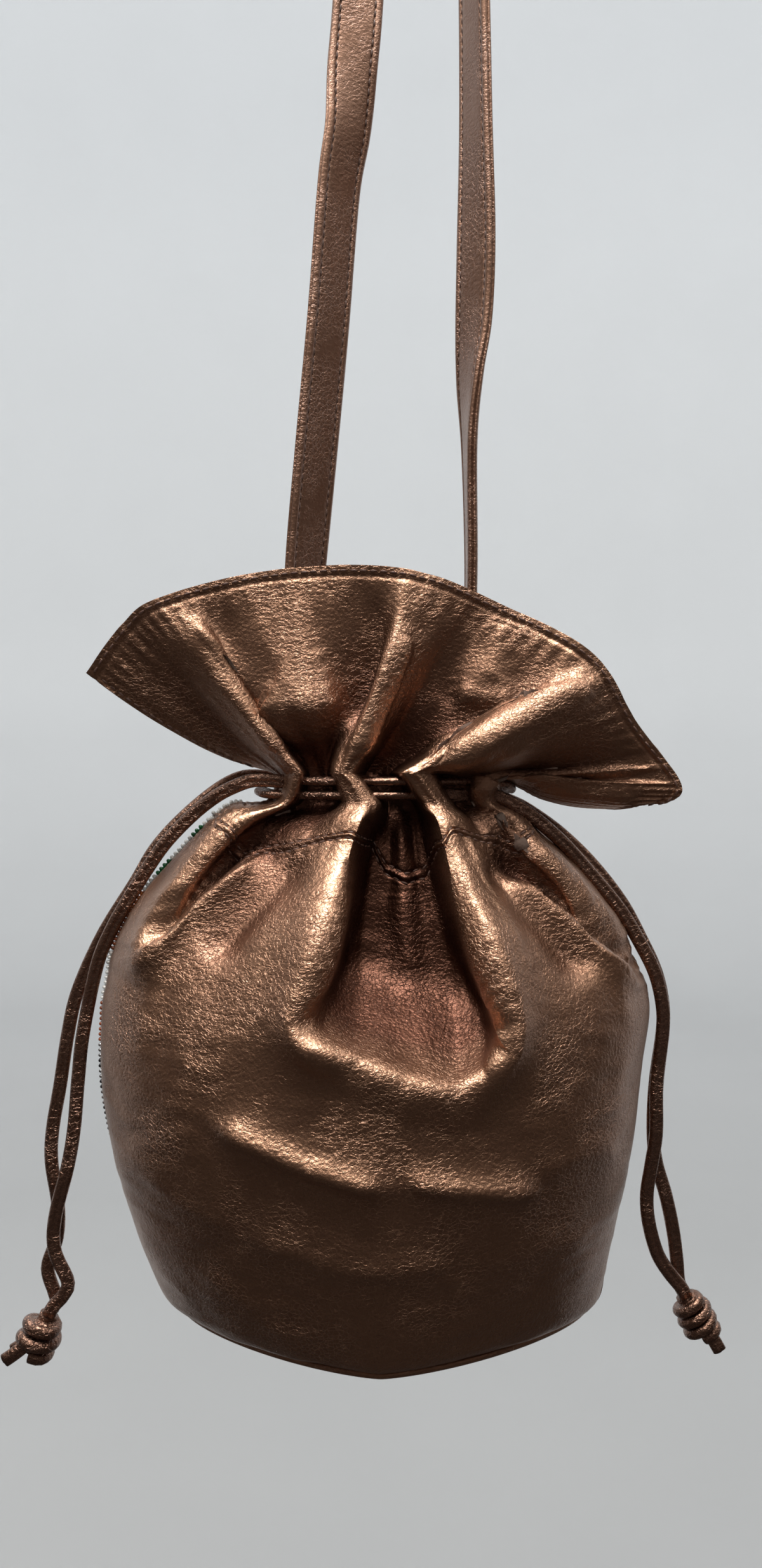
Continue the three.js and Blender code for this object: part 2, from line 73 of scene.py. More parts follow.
# Crests and floors of the gathers, in turn, from the left seam to the right seam: bearings at the top and
# the foot of the neck and on the body, and the rim of the flap with its sag.
Fold = namedtuple("Fold", "top foot body rim_x rim_y rim_z droop")
FOLDS = [Fold(*row) for row in (
    (-90, -90, -90, -105.7, -8, 42.1, 5), (-70, -74, -72, -91.9, -14, 58.3, 2),
    (-50, -57, -53, -77.4, -19, 67.5, 0), (-35, -33, -32, -38, -15, 77.8, 0),
    (-20, -8, -12, 8.9, -19, 77.6, 0), (-2, 9, 7, 44.8, -14.5, 64.7, 0), (16, 27, 25, 73.6, -22, 47.5, 0),
    (40, 44, 41, 90.1, -15, 24.2, 0), (66, 66, 60, 106.3, -13, 2.5, 1), (76, 76, 74, 101.8, -10, -4.6, 4),
    (90, 90, 90, 93.2, -6, -5, 5),
)]
PLEATS = (len(FOLDS) - 1) // 2

# How far the leather lies behind its crests, as a share of the gather, across a panel on the flap, at the
# neck and on the body. Crests are at whole numbers.
FLAP_PLEATS = [
    (0, 0), (0.45, 0.5), (0.8, 0.15), (0.96, 0), (1.08, 0.3), (1.2, 0.8), (1.36, 0.45), (1.55, 0.35),
    (1.88, 0.85), (2.05, 0), (2.2, 0.5), (2.38, 0.84), (2.62, 0.82), (2.9, 0.86), (3, 0.55), (3.16, 0.05),
    (3.36, 0), (3.75, 0.9), (3.83, 0.5), (3.92, 0.8), (4, 0), (4.5, 0.35), (5, 0),
]
NECK_PLEATS = [
    (0, 0), (0.5, 0.35), (0.84, 0.08), (1, 0), (1.13, 0.08), (1.28, 0.92), (1.5, 0.98), (1.7, 0.92),
    (1.85, 0.08), (2, 0), (2.15, 0.08), (2.31, 0.96), (2.5, 1.03), (2.68, 0.96), (2.84, 0.08), (3, 0),
    (3.16, 0.08), (3.32, 0.62), (3.5, 0.66), (3.68, 0.66), (3.84, 0.08), (4, 0), (4.2, 0.06), (4.5, 0.35),
    (5, 0),
]
BODY_PLEATS = [
    (0, 0), (0.5, 0.35), (1, 0), (1.2, 0.5), (1.45, 0.62), (1.7, 0.35), (2, 0.02), (2.05, 0.02),
    (2.13, 0.5), (2.22, 0.92), (2.36, 1), (2.48, 0.88), (2.6, 1), (2.7, 0.92), (2.78, 0.5), (2.86, 0.02),
    (2.95, 0), (3.12, 0.1), (3.35, 0.36), (3.6, 0.62), (3.8, 0.5), (4, 0), (4.5, 0.35), (5, 0),
]

# How far the floors of the flap run in under the crests beside them, across a panel.
FLAP_LEAN = [
    (0, 0), (1, 0), (1.2, -0.1), (1.5, 0), (1.88, 0.12), (2.05, 0), (2.2, -0.03), (2.5, 0), (2.9, 0.15),
    (3.16, 0), (3.6, 0), (3.92, 0.04), (4, 0), (5, 0),
]

# The basin between the two middle crests, at drops from the drawstring line: its left and right edges, its
# depth, and the drop of its lip across the panel.
BASIN_DROPS = [0, 14, 28, 42, 56, 70, 82, 94, 108]
BASIN_LEFT = [2.13, 2.13, 2.12, 2.1, 2.06, 1.99, 1.96, 1.96, 1.96]
BASIN_RIGHT = [2.78, 2.78, 2.78, 2.79, 2.84, 2.92, 2.96, 2.96, 2.96]
BASIN_DEPTH = [0, 1, 7, 15.5, 23.5, 26, 15, 0, 0]
BASIN_SOFT = 0.09
BASIN_LOW = 92.5
BASIN_LIP = [(1.95, 72), (2.05, 78), (2.2, 84), (2.5, 90), (2.7, BASIN_LOW), (2.85, 89), (2.95, 82), (3, 74)]

# Drop of the casing seam across a panel.
CASING = [
    (0, 11), (0.5, 11), (1, 14.5), (1.25, 21), (1.5, 19.5), (2, 14.3), (2.18, 18), (2.36, 28), (2.5, 30.5),
    (2.64, 29), (2.82, 18), (3, 13), (3.4, 17), (3.75, 21), (4, 15.5), (4.5, 11), (5, 11),
]

# Ridges and hollows of the soft leather on the plain side, as seen from the front: the height, how far it
# spreads on the left and on the right of its line, and the line.
Ridge = namedtuple("Ridge", "rise left right line")
RIDGES = [Ridge(*row) for row in (
    (5.6, 5, 4, [(-39, -23), (-48, -29), (-62, -40), (-73, -50), (-85, -62), (-91, -70)]),
    (4.4, 5, 7, [(-37, -1), (-51, -9), (-62, -21), (-73, -35), (-82, -47), (-88, -62), (-90, -74)]),
    (1.5, 6, 6, [(7, -34), (8, -45), (10, -57), (13, -69)]),
    (4.6, 7, 5, [(36, -4), (39, -10), (44, -15), (53, -22), (63, -29), (79, -45), (90, -57), (97, -68)]),
    (5.6, 4, 5, [(40, -28), (50, -35), (63, -45), (75, -55), (87, -65), (97, -76)]),
    (5.8, 8, 5, [(-66, -120), (-60, -122), (-44, -130), (-25, -138), (-9, -143), (2, -145), (10, -144)]),
    (4.8, 7, 5, [(3, -142), (12, -143), (23, -145), (40, -146), (55, -146), (62, -145)]),
    (2.6, 9, 7, [(-55, -159), (-35, -167), (-11, -174), (19, -175), (33, -174)]),
    (4.0, 4, 9, [(-76, 68), (-63, 55), (-51, 43), (-39, 28), (-31, 18), (-31, 12)]),
    (1.2, 7, 7, [(-48, 66), (-42, 55), (-33, 40), (-27, 27), (-21, 13)]),
    (4.0, 18, 7, [(-44, 33), (-34, 31), (-24, 31), (-13, 35)]),
    (4.5, 7, 3.5, [(10, 63), (8, 54), (2, 37), (-6, 20), (-12, 8)]),
    (6.5, 14, 6, [(84, 42), (69, 36), (54, 29), (38, 21), (21, 14), (14, 8)]),
    (2.0, 4, 4, [(98, -4), (84, -2), (66, 0), (50, 4)]),
    (3.5, 4, 4, [(46, 4), (40, 3), (36, -1), (36, -7), (41, -13), (47, -17)]),
    (1.4, 8, 8, [(47, 63), (45, 57), (41, 46), (38, 38)]),
    (3.4, 16, 6, [(24, 35), (33, 34), (42, 33), (51, 34)]),
    (1.4, 8, 7, [(-96, -126), (-86, -138), (-75, -149), (-62, -156), (-50, -161)]),
    (1.4, 7, 8, [(-68, -171), (-57, -181), (-46, -190), (-32, -201), (-21, -208)]),
    (1.2, 7, 7, [(55, -142), (64, -137), (74, -133), (90, -130)]),
    (1.0, 8, 7, [(29, -175), (42, -172), (56, -168), (70, -164), (81, -161)]),
    (-6.0, 4, 4, [(-36, -10), (-40, -15), (-50, -20), (-62, -31), (-73, -43), (-82, -54), (-88, -64)]),
    (-4.0, 8, 8, [(-28, -20), (-32, -26), (-42, -38), (-55, -52), (-66, -63)]),
    (-6.0, 4, 4, [(38, -17), (42, -22), (51, -29), (63, -37), (77, -50), (88, -61), (96, -71)]),
    (-4.0, 8, 8, [(37, -22), (41, -28), (52, -44), (66, -58), (80, -70)]),
    (-1.4, 4, 4, [(36, 70), (34, 64), (31, 52), (28, 40), (24, 28)]),
)]

# The rim of the basin, down its left side, along its lip and up its right side. Its height and its outer
# spread change along the line.
BASIN_RIM = Ridge(
    [8.4, 8.8, 8.5, 8.6, 5.6, 4.8, 5.2, 8.8, 9.6, 10.4, 9.6], 5.5, [18, 18, 18, 12, 9, 9, 9, 10, 18, 20, 20],
    [(-11, -14), (-12, -20), (-16, -38), (-20, -52), (-25, -67), (-29.5, -78), (-31, -86), (-26, -94),
     (-16, -98), (-5, -102), (5, -105.5), (15, -108.5), (26, -110), (34, -107.5), (41, -102.5), (46.5, -95),
     (48, -86), (45, -75), (40, -62), (36, -50), (32, -38), (29, -25), (27, -14)])

# The strap's middle line, from its left end inside the neck, over the hang point, to its right end.
StrapRow = namedtuple("StrapRow", "x z turn")
STRAP = [StrapRow(*row) for row in (
    (-31.4, -18, 90), (-31, 6, 90), (-30, 40, 66), (-27.6, 80, 47), (-23.5, 125, 43), (-19.2, 171, 43),
    (-15.3, 220, 42), (-12, 242, 34), (-10.4, 264, 16), (-8.5, 286, 12), (-5, 340, 32), (0, 420, 60),
    (3.4, 500, 84), (4.2, 540, 90), (4.4, 560, 90), (7.8, 568.2, 90), (16, 571.6, 90), (24.2, 568.2, 90),
    (27.6, 560, 90), (27.9, 540, 90), (28.4, 500, 86), (30.8, 420, 74), (33, 340, 66), (34, 286, 64),
    (34.5, 240, 60), (34.6, 200, 51), (33.8, 171, 54), (32.4, 150, 70), (32.2, 125, 86), (32.8, 80, 90),
    (31.6, 40, 90), (30.2, 6, 90), (30.4, -18, 90),
)]

# Half of the strap's section, as shares of its half width and half thickness: a flat face with a sunk stitch
# line, and two turned edges with a groove between them.
STRAP_HALF_SECTION = [
    (0.0, 0.96), (0.35, 1.0), (0.6, 1.0), (0.655, 0.95), (0.69, 0.7), (0.725, 0.98), (0.78, 1.14),
    (0.88, 1.14), (0.95, 0.9), (0.99, 0.66), (1.0, 0.48), (0.985, 0.28), (0.945, 0.1), (0.9, 0.0),
]

# Routes of the drawstrings, as in the part's source: the held stretches, mirrored to the far side, and the
# free ends.
HELD = {
    "neck_cord_left": [
        (-33, -12.1, 3.2), (-26.8, -14.2, 3.2), (-14, -19.5, 3.2), (0, -21.5, 3.2), (14, -19.5, 3.2),
        (25, -15, 3.2), (33.5, -11.3, 3.2), (43, -10.3, 2.4), (46.2, -5, 0.9), (46.4, 0, 0.2),
    ],
    "neck_cord_right": [
        (21.6, -16.4, -1.6), (14, -19.5, -1.6), (0, -21.5, -1.6), (-14, -19.5, -1.6), (-24, -15.3, -1.6),
        (-33.5, -12, -1.6), (-40.2, -10, -1.2), (-43.2, -4.8, -0.4), (-43.6, 0, 0),
    ],
}
FREE = {
    "drawstring_left_near": [
        (-33.5, -12, 3.2), (-40, -11.5, 3.7), (-46, -10.5, 3.6), (-52, -9.5, 1.6), (-58.9, -8, -1.9),
        (-67.8, -6, -8.7), (-77.5, -5, -18.6), (-85, -4, -29), (-92.2, -3.4, -40.6), (-98, -3, -51),
        (-103, -2.8, -63.5), (-108, -2.6, -87.6), (-109.9, -2.6, -105), (-111.3, -2.6, -122),
        (-113.6, -2.6, -136), (-118.2, -2.6, -154.6), (-118.4, -2.6, -166.7), (-113.6, -2.6, -178),
        (-115.2, -2.6, -183), (-118.9, -2.5, -187.1), (-120.7, -2.5, -190.4),
    ],
    "drawstring_left_far": [
        (-33.5, 12, 3.2), (-40, 11.2, 4.2), (-46, 10, 5.4), (-53, 8, 4.6), (-61.7, 6, -0.4),
        (-73.5, 4.5, -10.6), (-83, 4, -21.3), (-90.4, 3.6, -33.8), (-102.2, 3, -53), (-111.3, 2.6, -73.5),
        (-115, 2.6, -89.5), (-117.8, 2.6, -108), (-120.5, 2.6, -123.8), (-121, 2.6, -136),
        (-118.6, 2.6, -152), (-119, 2.6, -164), (-122.4, 2.6, -175), (-119.9, 2.5, -184),
        (-119.2, 2.5, -187.1), (-120.7, 2.5, -190.4),
    ],
    "drawstring_right_near": [
        (22, -16.2, -1.6), (27.6, -13.8, -1.6), (33.2, -11.4, -1.6), (39.6, -10.6, -1.7),
        (44.5, -10.8, -3.4), (49, -10.6, -5.8), (55, -9, -9.8), (65.3, -6, -18.6), (75.6, -3.8, -29.8),
        (86.8, -3, -43.4), (94.2, -2.7, -55.7), (99.4, -2.7, -66.3), (102, -2.7, -77.4), (102.2, -2.7, -87),
        (100, -2.7, -106.4), (99.8, -2.7, -124), (98, -2.7, -136), (96.4, -2.7, -146.5),
        (97.1, -2.7, -156.5), (100.1, -2.7, -167.5), (104.2, -2.6, -174.4), (108.9, -2.5, -180.2),
        (110.8, -2.5, -183.7),
    ],
    "drawstring_right_far": [
        (22, 16.2, -1.6), (27.6, 13.8, -1.6), (33.2, 11.4, -1.6), (39.6, 10.4, -1.8), (44.5, 10.8, -2.6),
        (49, 10.6, -4.2), (55, 9, -7.4), (66, 6.5, -15.5), (77.5, 4.6, -26.8), (88.4, 3.4, -41),
        (95.6, 2.8, -54.6), (100.8, 2.7, -66), (103.4, 2.7, -77.4), (103.4, 2.7, -88), (100.8, 2.7, -107),
        (100, 2.7, -124), (101, 2.7, -136), (104.6, 2.7, -148.6), (107.2, 2.7, -161), (108.6, 2.7, -172),
        (109.2, 2.5, -179.9), (110.8, 2.5, -183.7),
    ],
}

# A cord's thickness and width, as shares of its diameter.
CORD_FLAT = 0.76
CORD_WIDE = 1.1

# Knots: the middle, the lean of the middle line, the turns of cord about it and the cut ends.
Knot = namedtuple("Knot", "x z lean turns rise ring tube tails")
KNOTS = {
    "knot_left": Knot(-124.7, -199.1, -0.434, 2.2, 12, 4.4, 3.0, [(-1, -2.6, 13.5), (-1, 2.6, 11.5)]),
    "knot_right": Knot(115, -192, 0.467, 3.2, 14, 3.8, 2.6, [(0.2, -2.4, 13.5), (0.2, 2.4, 12)]),
}

# Runs of seed beads along the left seam, from the neck down: the drops of a run's ends, and its colour.
BeadRun = namedtuple("BeadRun", "top bottom colour")
BEAD_RUNS = [BeadRun(*row) for row in (
    (9, 13, "white"), (13, 17, "green"), (17, 25, "white"), (25, 30, "green"), (30, 36, "white"),
    (36, 44, "orange"), (44, 58, "rust"), (58, 76, "white"), (76, 92, "rust"), (92, 96, "silver"),
    (96, 100, "jet"), (100, 105, "silver"), (105, 109, "jet"), (109, 114, "silver"), (114, 118, "jet"),
    (118, 124, "silver"),
)]


def length_prop(name, text, size):
    return bpy.props.FloatProperty(name=name, description=text, default=size, min=0.0, subtype="DISTANCE",
                                   unit="LENGTH", precision=5)


def colour_prop(name, text, colour):
    return bpy.props.FloatVectorProperty(name=name, description=text, default=colour, size=3, min=0.0,
                                         max=1.0, subtype="COLOR")


class PurseSizes(bpy.types.PropertyGroup):
    """Sizes of the purse's leather, cords and sewing."""
    leather: length_prop("Leather", "Thickness of the panels", 0.0014)
    panel_width: length_prop("Panel width", "Width of a panel before it is gathered", 0.30)
    panel_height: length_prop("Panel height", "Height of a panel with its flap", 0.28)
    hem: length_prop("Hem", "Thickness of the turned edge of a flap", 0.0025)
    hem_line: length_prop("Hem stitching", "Distance of the flap's stitching from its edge", 0.0019)
    base: length_prop("Base", "Thickness of the base", 0.0022)
    cord: length_prop("Cord", "Diameter of the rolled drawstrings", 0.0044)
    strap_width: length_prop("Strap width", "Width of the shoulder strap", 0.0185)
    strap: length_prop("Strap thickness", "Thickness of the two plies of the strap", 0.0032)
    pitch: length_prop("Stitch pitch", "Distance from stitch to stitch", 0.0035)
    thread: length_prop("Thread", "Thickness of the sewing thread", 0.0006)
    bead: length_prop("Bead", "Diameter of a seed bead", 0.0019)


class PurseColours(bpy.types.PropertyGroup):
    """Colours of the purse's materials and of the stage."""
    bronze: colour_prop("Bronze", "Metallic finish of the leather", (0.38, 0.196, 0.111))
    # This umber is also mixed into the panels' leather as painted shade in the depths of their folds.
    umber_and_fold_shade: colour_prop("Umber", "Leather where its finish lies in creases", (0.095, 0.036, 0.021))
    strap: colour_prop("Strap", "Finish of the strap", (0.25, 0.127, 0.075))
    cord: colour_prop("Cord", "Finish of the drawstrings", (0.23, 0.112, 0.066))
    thread: colour_prop("Thread", "Sewing thread", (0.09, 0.045, 0.028))
    lining: colour_prop("Lining", "Flesh side of the leather", (0.10, 0.06, 0.04))
    floor: colour_prop("Floor", "Floor and backdrop", (0.97, 0.975, 0.97))
    white: colour_prop("White beads", "Opaque white seed beads", (0.80, 0.79, 0.74))
    green: colour_prop("Green beads", "Deep green seed beads", (0.012, 0.14, 0.045))
    orange: colour_prop("Orange beads", "Orange seed beads", (0.55, 0.16, 0.04))
    rust: colour_prop("Rust beads", "Rust red seed beads", (0.25, 0.07, 0.03))
    silver: colour_prop("Silver beads", "Silver lined seed beads", (0.66, 0.66, 0.66))
    jet: colour_prop("Jet beads", "Near black seed beads", (0.015, 0.014, 0.016))


def sizes():
    return bpy.context.scene.purse_sizes


def in_mm(name):
    """One of the purse's sizes, in millimetres."""
    return getattr(sizes(), name) / MM


def colour(name):
    return (*getattr(bpy.context.scene.purse_colours, name), 1.0)


# Curves and surfaces of the purse.

def smooth(values, t):
    """A smooth curve through values; t counts them."""
    values = np.asarray(values, float)
    last = len(values) - 1
    t = np.asarray(t, float)
    i = np.clip(np.floor(t).astype(int), 0, last - 1)
    f = t - i
    if values.ndim > 1:
        f = f[..., None]

    def at(k):
        return values[np.clip(k, 0, last)]

    start = (at(i + 1) - at(i - 1)) / 2
    end = (at(i + 2) - at(i)) / 2
    return ((2 * f**3 - 3 * f**2 + 1) * at(i) + (f**3 - 2 * f**2 + f) * start
            + (3 * f**2 - 2 * f**3) * at(i + 1) + (f**3 - f**2) * end)


def column(rows, name, t):
    return smooth([getattr(row, name) for row in rows], t)


def blend(first, second, share):
    return first + (second - first) * share


def ease(low, high, value):
    """Runs smoothly from 0 to 1 between two values."""
    f = np.clip((value - low) / (high - low), 0, 1)
    return f * f * (3 - 2 * f)


def bulge(value, middle, width):
    """A smooth bump of height 1."""
    return np.exp(-((value - middle) / width)**2)


def unit(vectors):
    return vectors / np.maximum(np.linalg.norm(vectors, axis=-1, keepdims=True), 1e-9)


def run_along(line):
    """Distances along a line of points, from its start."""
    return np.concatenate([[0], np.cumsum(np.linalg.norm(np.diff(line, axis=0), axis=1))])


FINE_STEPS = 40


def even_line(points, spacing):
    """A smooth line through points, at even steps, with its directions."""
    points = np.asarray(points, float)
    fine = smooth(points, np.linspace(0, len(points) - 1, FINE_STEPS * len(points)))
    run = run_along(fine)
    at = np.linspace(0, run[-1], max(2, round(run[-1] / spacing) + 1))
    line = np.stack([np.interp(at, run, fine[:, k]) for k in range(fine.shape[1])], axis=1)
    return line, unit(np.gradient(line, axis=0))


PLEAT_EASE = 0.7


def pleat(keys, q):
    """Partly eased values between the keys of a pleat table."""
    at, values = np.array(keys, float).T
    i = np.clip(np.searchsorted(at, q, side="right") - 1, 0, len(at) - 2)
    f = (q - at[i]) / (at[i + 1] - at[i])
    return blend(values[i], values[i + 1], blend(f, 0.5 - 0.5 * np.cos(np.pi * f), PLEAT_EASE))


def basin_depth(q, t):
    """How far the basin lies behind the plain gather."""
    drop = np.clip(column(SECTIONS, "drop", t), 0, BASIN_DROPS[-1])
    count = range(len(BASIN_DROPS))
    at = np.interp(drop, BASIN_DROPS, count)
    left, right = smooth(BASIN_LEFT, at), smooth(BASIN_RIGHT, at)
    low = drop * BASIN_LOW / pleat(BASIN_LIP, np.clip(q, BASIN_LIP[0][0], BASIN_LIP[-1][0]))
    deep = smooth(BASIN_DEPTH, np.interp(low, BASIN_DROPS, count))
    past_left = ease(left - BASIN_SOFT, left + BASIN_SOFT, q)
    past_right = ease(right - BASIN_SOFT, right + BASIN_SOFT, q)
    return deep * past_left * (1 - past_right)


# Where body folds turn into neck folds. Up the flap: its folds, how their lean starts and ends, its flare.
NECK_BLEND = (8, 10)
FLAP_BLEND = (0, 0.35)
LEAN_STARTS = (0, 0.2)
LEAN_ENDS = (0.55, 0.95)
FLAP_FLARE = 1.5


def fold_depth(q, t, flap=0.0):
    """How far the leather lies behind its crests."""
    wall = blend(pleat(BODY_PLEATS, q), pleat(NECK_PLEATS, q), ease(*NECK_BLEND, t))
    return column(SECTIONS, "gather", t) * blend(wall, pleat(FLAP_PLEATS, q), flap) + basin_depth(q, t)


def body_points(q, t, flap=0.0):
    """The body's wall: q runs over the pleats from the left seam, t counts sections from the base."""
    pull = column(SECTIONS, "pull", t)
    neck = blend(column(FOLDS, "foot", 2 * q), column(FOLDS, "top", 2 * q), np.clip(t - NECK + 1, 0, 1))
    bearing = np.radians(blend(column(FOLDS, "body", 2 * q), neck, pull))
    bend = 2 / column(SECTIONS, "power", t)
    side, front = np.sin(bearing), np.maximum(np.cos(bearing), 0)
    reach = np.where(side < 0, column(SECTIONS, "left", t), column(SECTIONS, "right", t))
    depth = column(SECTIONS, "depth", t) - fold_depth(q, t, flap)
    return np.stack([np.sign(side) * reach * np.abs(side)**bend, -depth * front**bend,
                     -column(SECTIONS, "drop", t)], axis=-1)


def flap_points(q, w, rim_share):
    """The flap above the neck: w is 0 at the neck and 1 at the rim."""
    lean = pleat(FLAP_LEAN, q) * ease(*LEAN_STARTS, w) * (1 - ease(*LEAN_ENDS, w))
    over = np.clip(q + lean, 0, PLEATS)
    rim = np.stack([column(FOLDS, name, 2 * over) for name in ("rim_x", "rim_y", "rim_z")], axis=-1)
    neck = body_points(over, np.full_like(q, NECK))
    points = neck + (rim - neck) * (w * rim_share)[..., None]
    deep = body_points(q, np.full_like(q, NECK), ease(*FLAP_BLEND, w))[..., 1]
    points[..., 1] = blend(deep, column(FOLDS, "rim_y", 2 * q), (w * rim_share)**FLAP_FLARE)
    points[..., 2] -= column(FOLDS, "droop", 2 * q) * np.sin(np.pi * w)
    return points


def flap_heights(q, rim_share):
    """Length of the flap from the neck to the rim."""
    rise = flap_points(q, np.ones_like(q), rim_share) - flap_points(q, np.zeros_like(q), rim_share)
    return np.linalg.norm(rise, axis=1)


def wall_points(q, t, rim_share):
    """A panel's plain surface; t counts sections to the neck, and one more for the flap."""
    body = body_points(q, np.minimum(t, NECK))
    flap = flap_points(q, np.clip(t - NECK, 0, 1), rim_share)
    return np.where((t > NECK)[..., None], flap, body)


# Steps over which directions are taken, on the plain surface and on the dressed one.
PLAIN_STEPS = (0.02, 0.04)
DRESSED_STEPS = (0.01, 0.02)


def surface_normals(surface, q, t, dq, dt):
    """Outward directions of a surface of q and t, on the near side."""
    across = surface(np.minimum(q + dq, PLEATS), t) - surface(np.maximum(q - dq, 0), t)
    up = surface(q, np.minimum(t + dt, NECK + 1)) - surface(q, np.maximum(t - dt, 0))
    return unit(np.cross(across, up))


def spread_along(values, share):
    """A plain value, or values that run evenly along a line, at shares of it."""
    return smooth(values, share * (len(values) - 1)) if isinstance(values, list) else values


# Steps along a ridge, the share over which its ends fade, and how it falls to its sides.
RIDGE_SPACING = 2.5
RIDGE_FADE = 0.22
RIDGE_FALL = 1.6
RIDGE_ROUND = 0.3


def ridge_heights(ridges, x, z):
    """Height of ridges over places as seen from the front."""
    total = np.zeros_like(x)
    rows = np.arange(len(x))
    for ridge in ridges:
        line, along = even_line(ridge.line, RIDGE_SPACING)
        dx, dz = x[:, None] - line[None, :, 0], z[:, None] - line[None, :, 1]
        away = dx**2 + dz**2
        k = np.argmin(away, axis=1)
        side = along[k, 0] * dz[rows, k] - along[k, 1] * dx[rows, k]
        run = k / (len(line) - 1)
        share = np.sqrt(away[rows, k]) / np.where(side > 0, ridge.left, spread_along(ridge.right, run))
        height = spread_along(ridge.rise, run) * ease(0, RIDGE_FADE, np.minimum(run, 1 - run))
        total += height * np.exp(-RIDGE_FALL * (np.hypot(share, RIDGE_ROUND) - RIDGE_ROUND))
    return total


def crumple(points, size, seed):
    """Smooth unevenness of soft leather, about -1 to 1."""
    return np.array([noise.noise(Vector(p) / size + Vector((seed, 0, 0))) for p in points])


# Unevenness of the leather: how high it is, and the size of its lumps, creases and streaks.
GATHERED_FROM, GATHERED_OVER = 5, 4
LUMPS, LUMP_SIZE = 0.9, 34
DENTS, DENT_SIZE = 0.35, 13
CREASES, CREASE_WIDE, CREASE_TALL, CREASE_PATCH = 0.5, 11, 4.5, 28
PATCH_BASE, PATCH_GAIN = 0.4, 1.6
STREAKS, STREAKS_ACROSS, STREAKS_UP = 0.55, 9, 0.55


def uneven(points, q, t, seed):
    """Lumps all over a panel, creases on its belly and streaks from the neck."""
    upper = np.clip((t - GATHERED_FROM) / GATHERED_OVER, 0, 1)
    relief = LUMPS * crumple(points, LUMP_SIZE, seed)
    relief += DENTS * crumple(points, DENT_SIZE, seed) * (1 + upper) / 2
    patches = np.clip(PATCH_BASE + PATCH_GAIN * crumple(points, CREASE_PATCH, seed + 2), 0, 1)
    creased = points * (1 / CREASE_WIDE, 0, 1 / CREASE_TALL)
    relief += CREASES * patches * (1 - upper) * crumple(creased, 1, seed + 9)
    streaked = np.stack([q * STREAKS_ACROSS, t * STREAKS_UP, np.zeros_like(q)], axis=1)
    return relief + STREAKS * upper * crumple(streaked, 1, seed + 5)


DROP_STEPS = 400


def section_at(drop):
    """The section at a drop from the drawstring line."""
    steps = np.linspace(0, NECK, DROP_STEPS)
    return np.interp(-drop, -column(SECTIONS, "drop", steps), steps)


def waves(q, count, sway, sway_count):
    """Uneven small waves across a panel, -1 to 1."""
    return np.sin(q * count + sway * np.sin(q * sway_count))


# The casing seam: its row in a panel's mesh, how far rows bend to it, its tuck, the grooves of its stitching
# and the puckers beside them.
CASING_ROW = 7.9
CASING_SPREAD = 1.1
CASING_ROW_TALL = 17
TUCK, TUCK_WIDE = 0.45, 0.8
GROOVE, GROOVE_WIDE, GROOVE_AT = 0.5, 0.6, 1.7
PUCKERS, PUCKERS_WIDE, PUCKERS_FROM = 0.3, 6, 2
PUCKER_WAVES = (58, 2, 7)


def casing_section(q):
    """The section where the seam of the drawstring's casing runs: lower in the floors of the folds."""
    return section_at(pleat(CASING, q))


def warped_section(q, row):
    """Rows of a panel's mesh bend so that one of them runs along the casing seam."""
    return row + (casing_section(q) - CASING_ROW) * bulge(row, CASING_ROW, CASING_SPREAD)


def casing_tuck(q, row):
    """A narrow tuck between two lines of stitching, with puckers."""
    off = (row - CASING_ROW) * CASING_ROW_TALL
    grooves = bulge(off, GROOVE_AT, GROOVE_WIDE) + bulge(off, -GROOVE_AT, GROOVE_WIDE)
    puckers = waves(q, *PUCKER_WAVES) * bulge(off, 0, PUCKERS_WIDE) * (np.abs(off) > PUCKERS_FROM)
    return TUCK * bulge(off, 0, TUCK_WIDE) - GROOVE * grooves + PUCKERS * puckers


# The hem of the flap: the groove of its stitching and the puckers below it.
HEM_GROOVE, HEM_GROOVE_WIDE, HEM_GROOVE_AT = 0.5, 0.55, 2.1
HEM_PUCKERS, HEM_PUCKERS_WIDE, HEM_PUCKERS_AT = 0.36, 4, 6
HEM_PUCKER_WAVES = (64, 3, 5)


def hem_draw(q, t, rim_share):
    """The hem's stitching draws the leather in, with small puckers below."""
    up = smooth([0, 1], np.clip(t - NECK, 0, 1))
    from_rim = np.where(t < NECK, np.inf, (1 - up) * flap_heights(q, rim_share))
    puckers = waves(q, *HEM_PUCKER_WAVES) * bulge(from_rim, HEM_PUCKERS_AT, HEM_PUCKERS_WIDE)
    return HEM_PUCKERS * puckers - HEM_GROOVE * bulge(from_rim, HEM_GROOVE_AT, HEM_GROOVE_WIDE)


# The far flap's height as a share, how far panels stand proud of the solids, the seams that turn in, girths
# by section, the fold depth that takes the full painted shade, how the basin's rim leans to the front, and
# seeds of unevenness.
FAR_RIM = 0.93
PROUD = 0.15
BASE_TURN, BASE_TURN_TALL = 5.0, 2.4
SIDE_TURN, FLAP_SIDE_TURN, SIDE_TURN_WIDE = 0.9, 0.25, 1.6
GIRTHS = [(0, 230), (4, 300), (8, 190), (NECK, 110), (NECK + 1, 290)]
FOLD_SHADE_DEPTH = 15
RIM_LEAN = (0, -0.35, 0)
NEAR_SEED, FAR_SEED = 3.7, 11.3


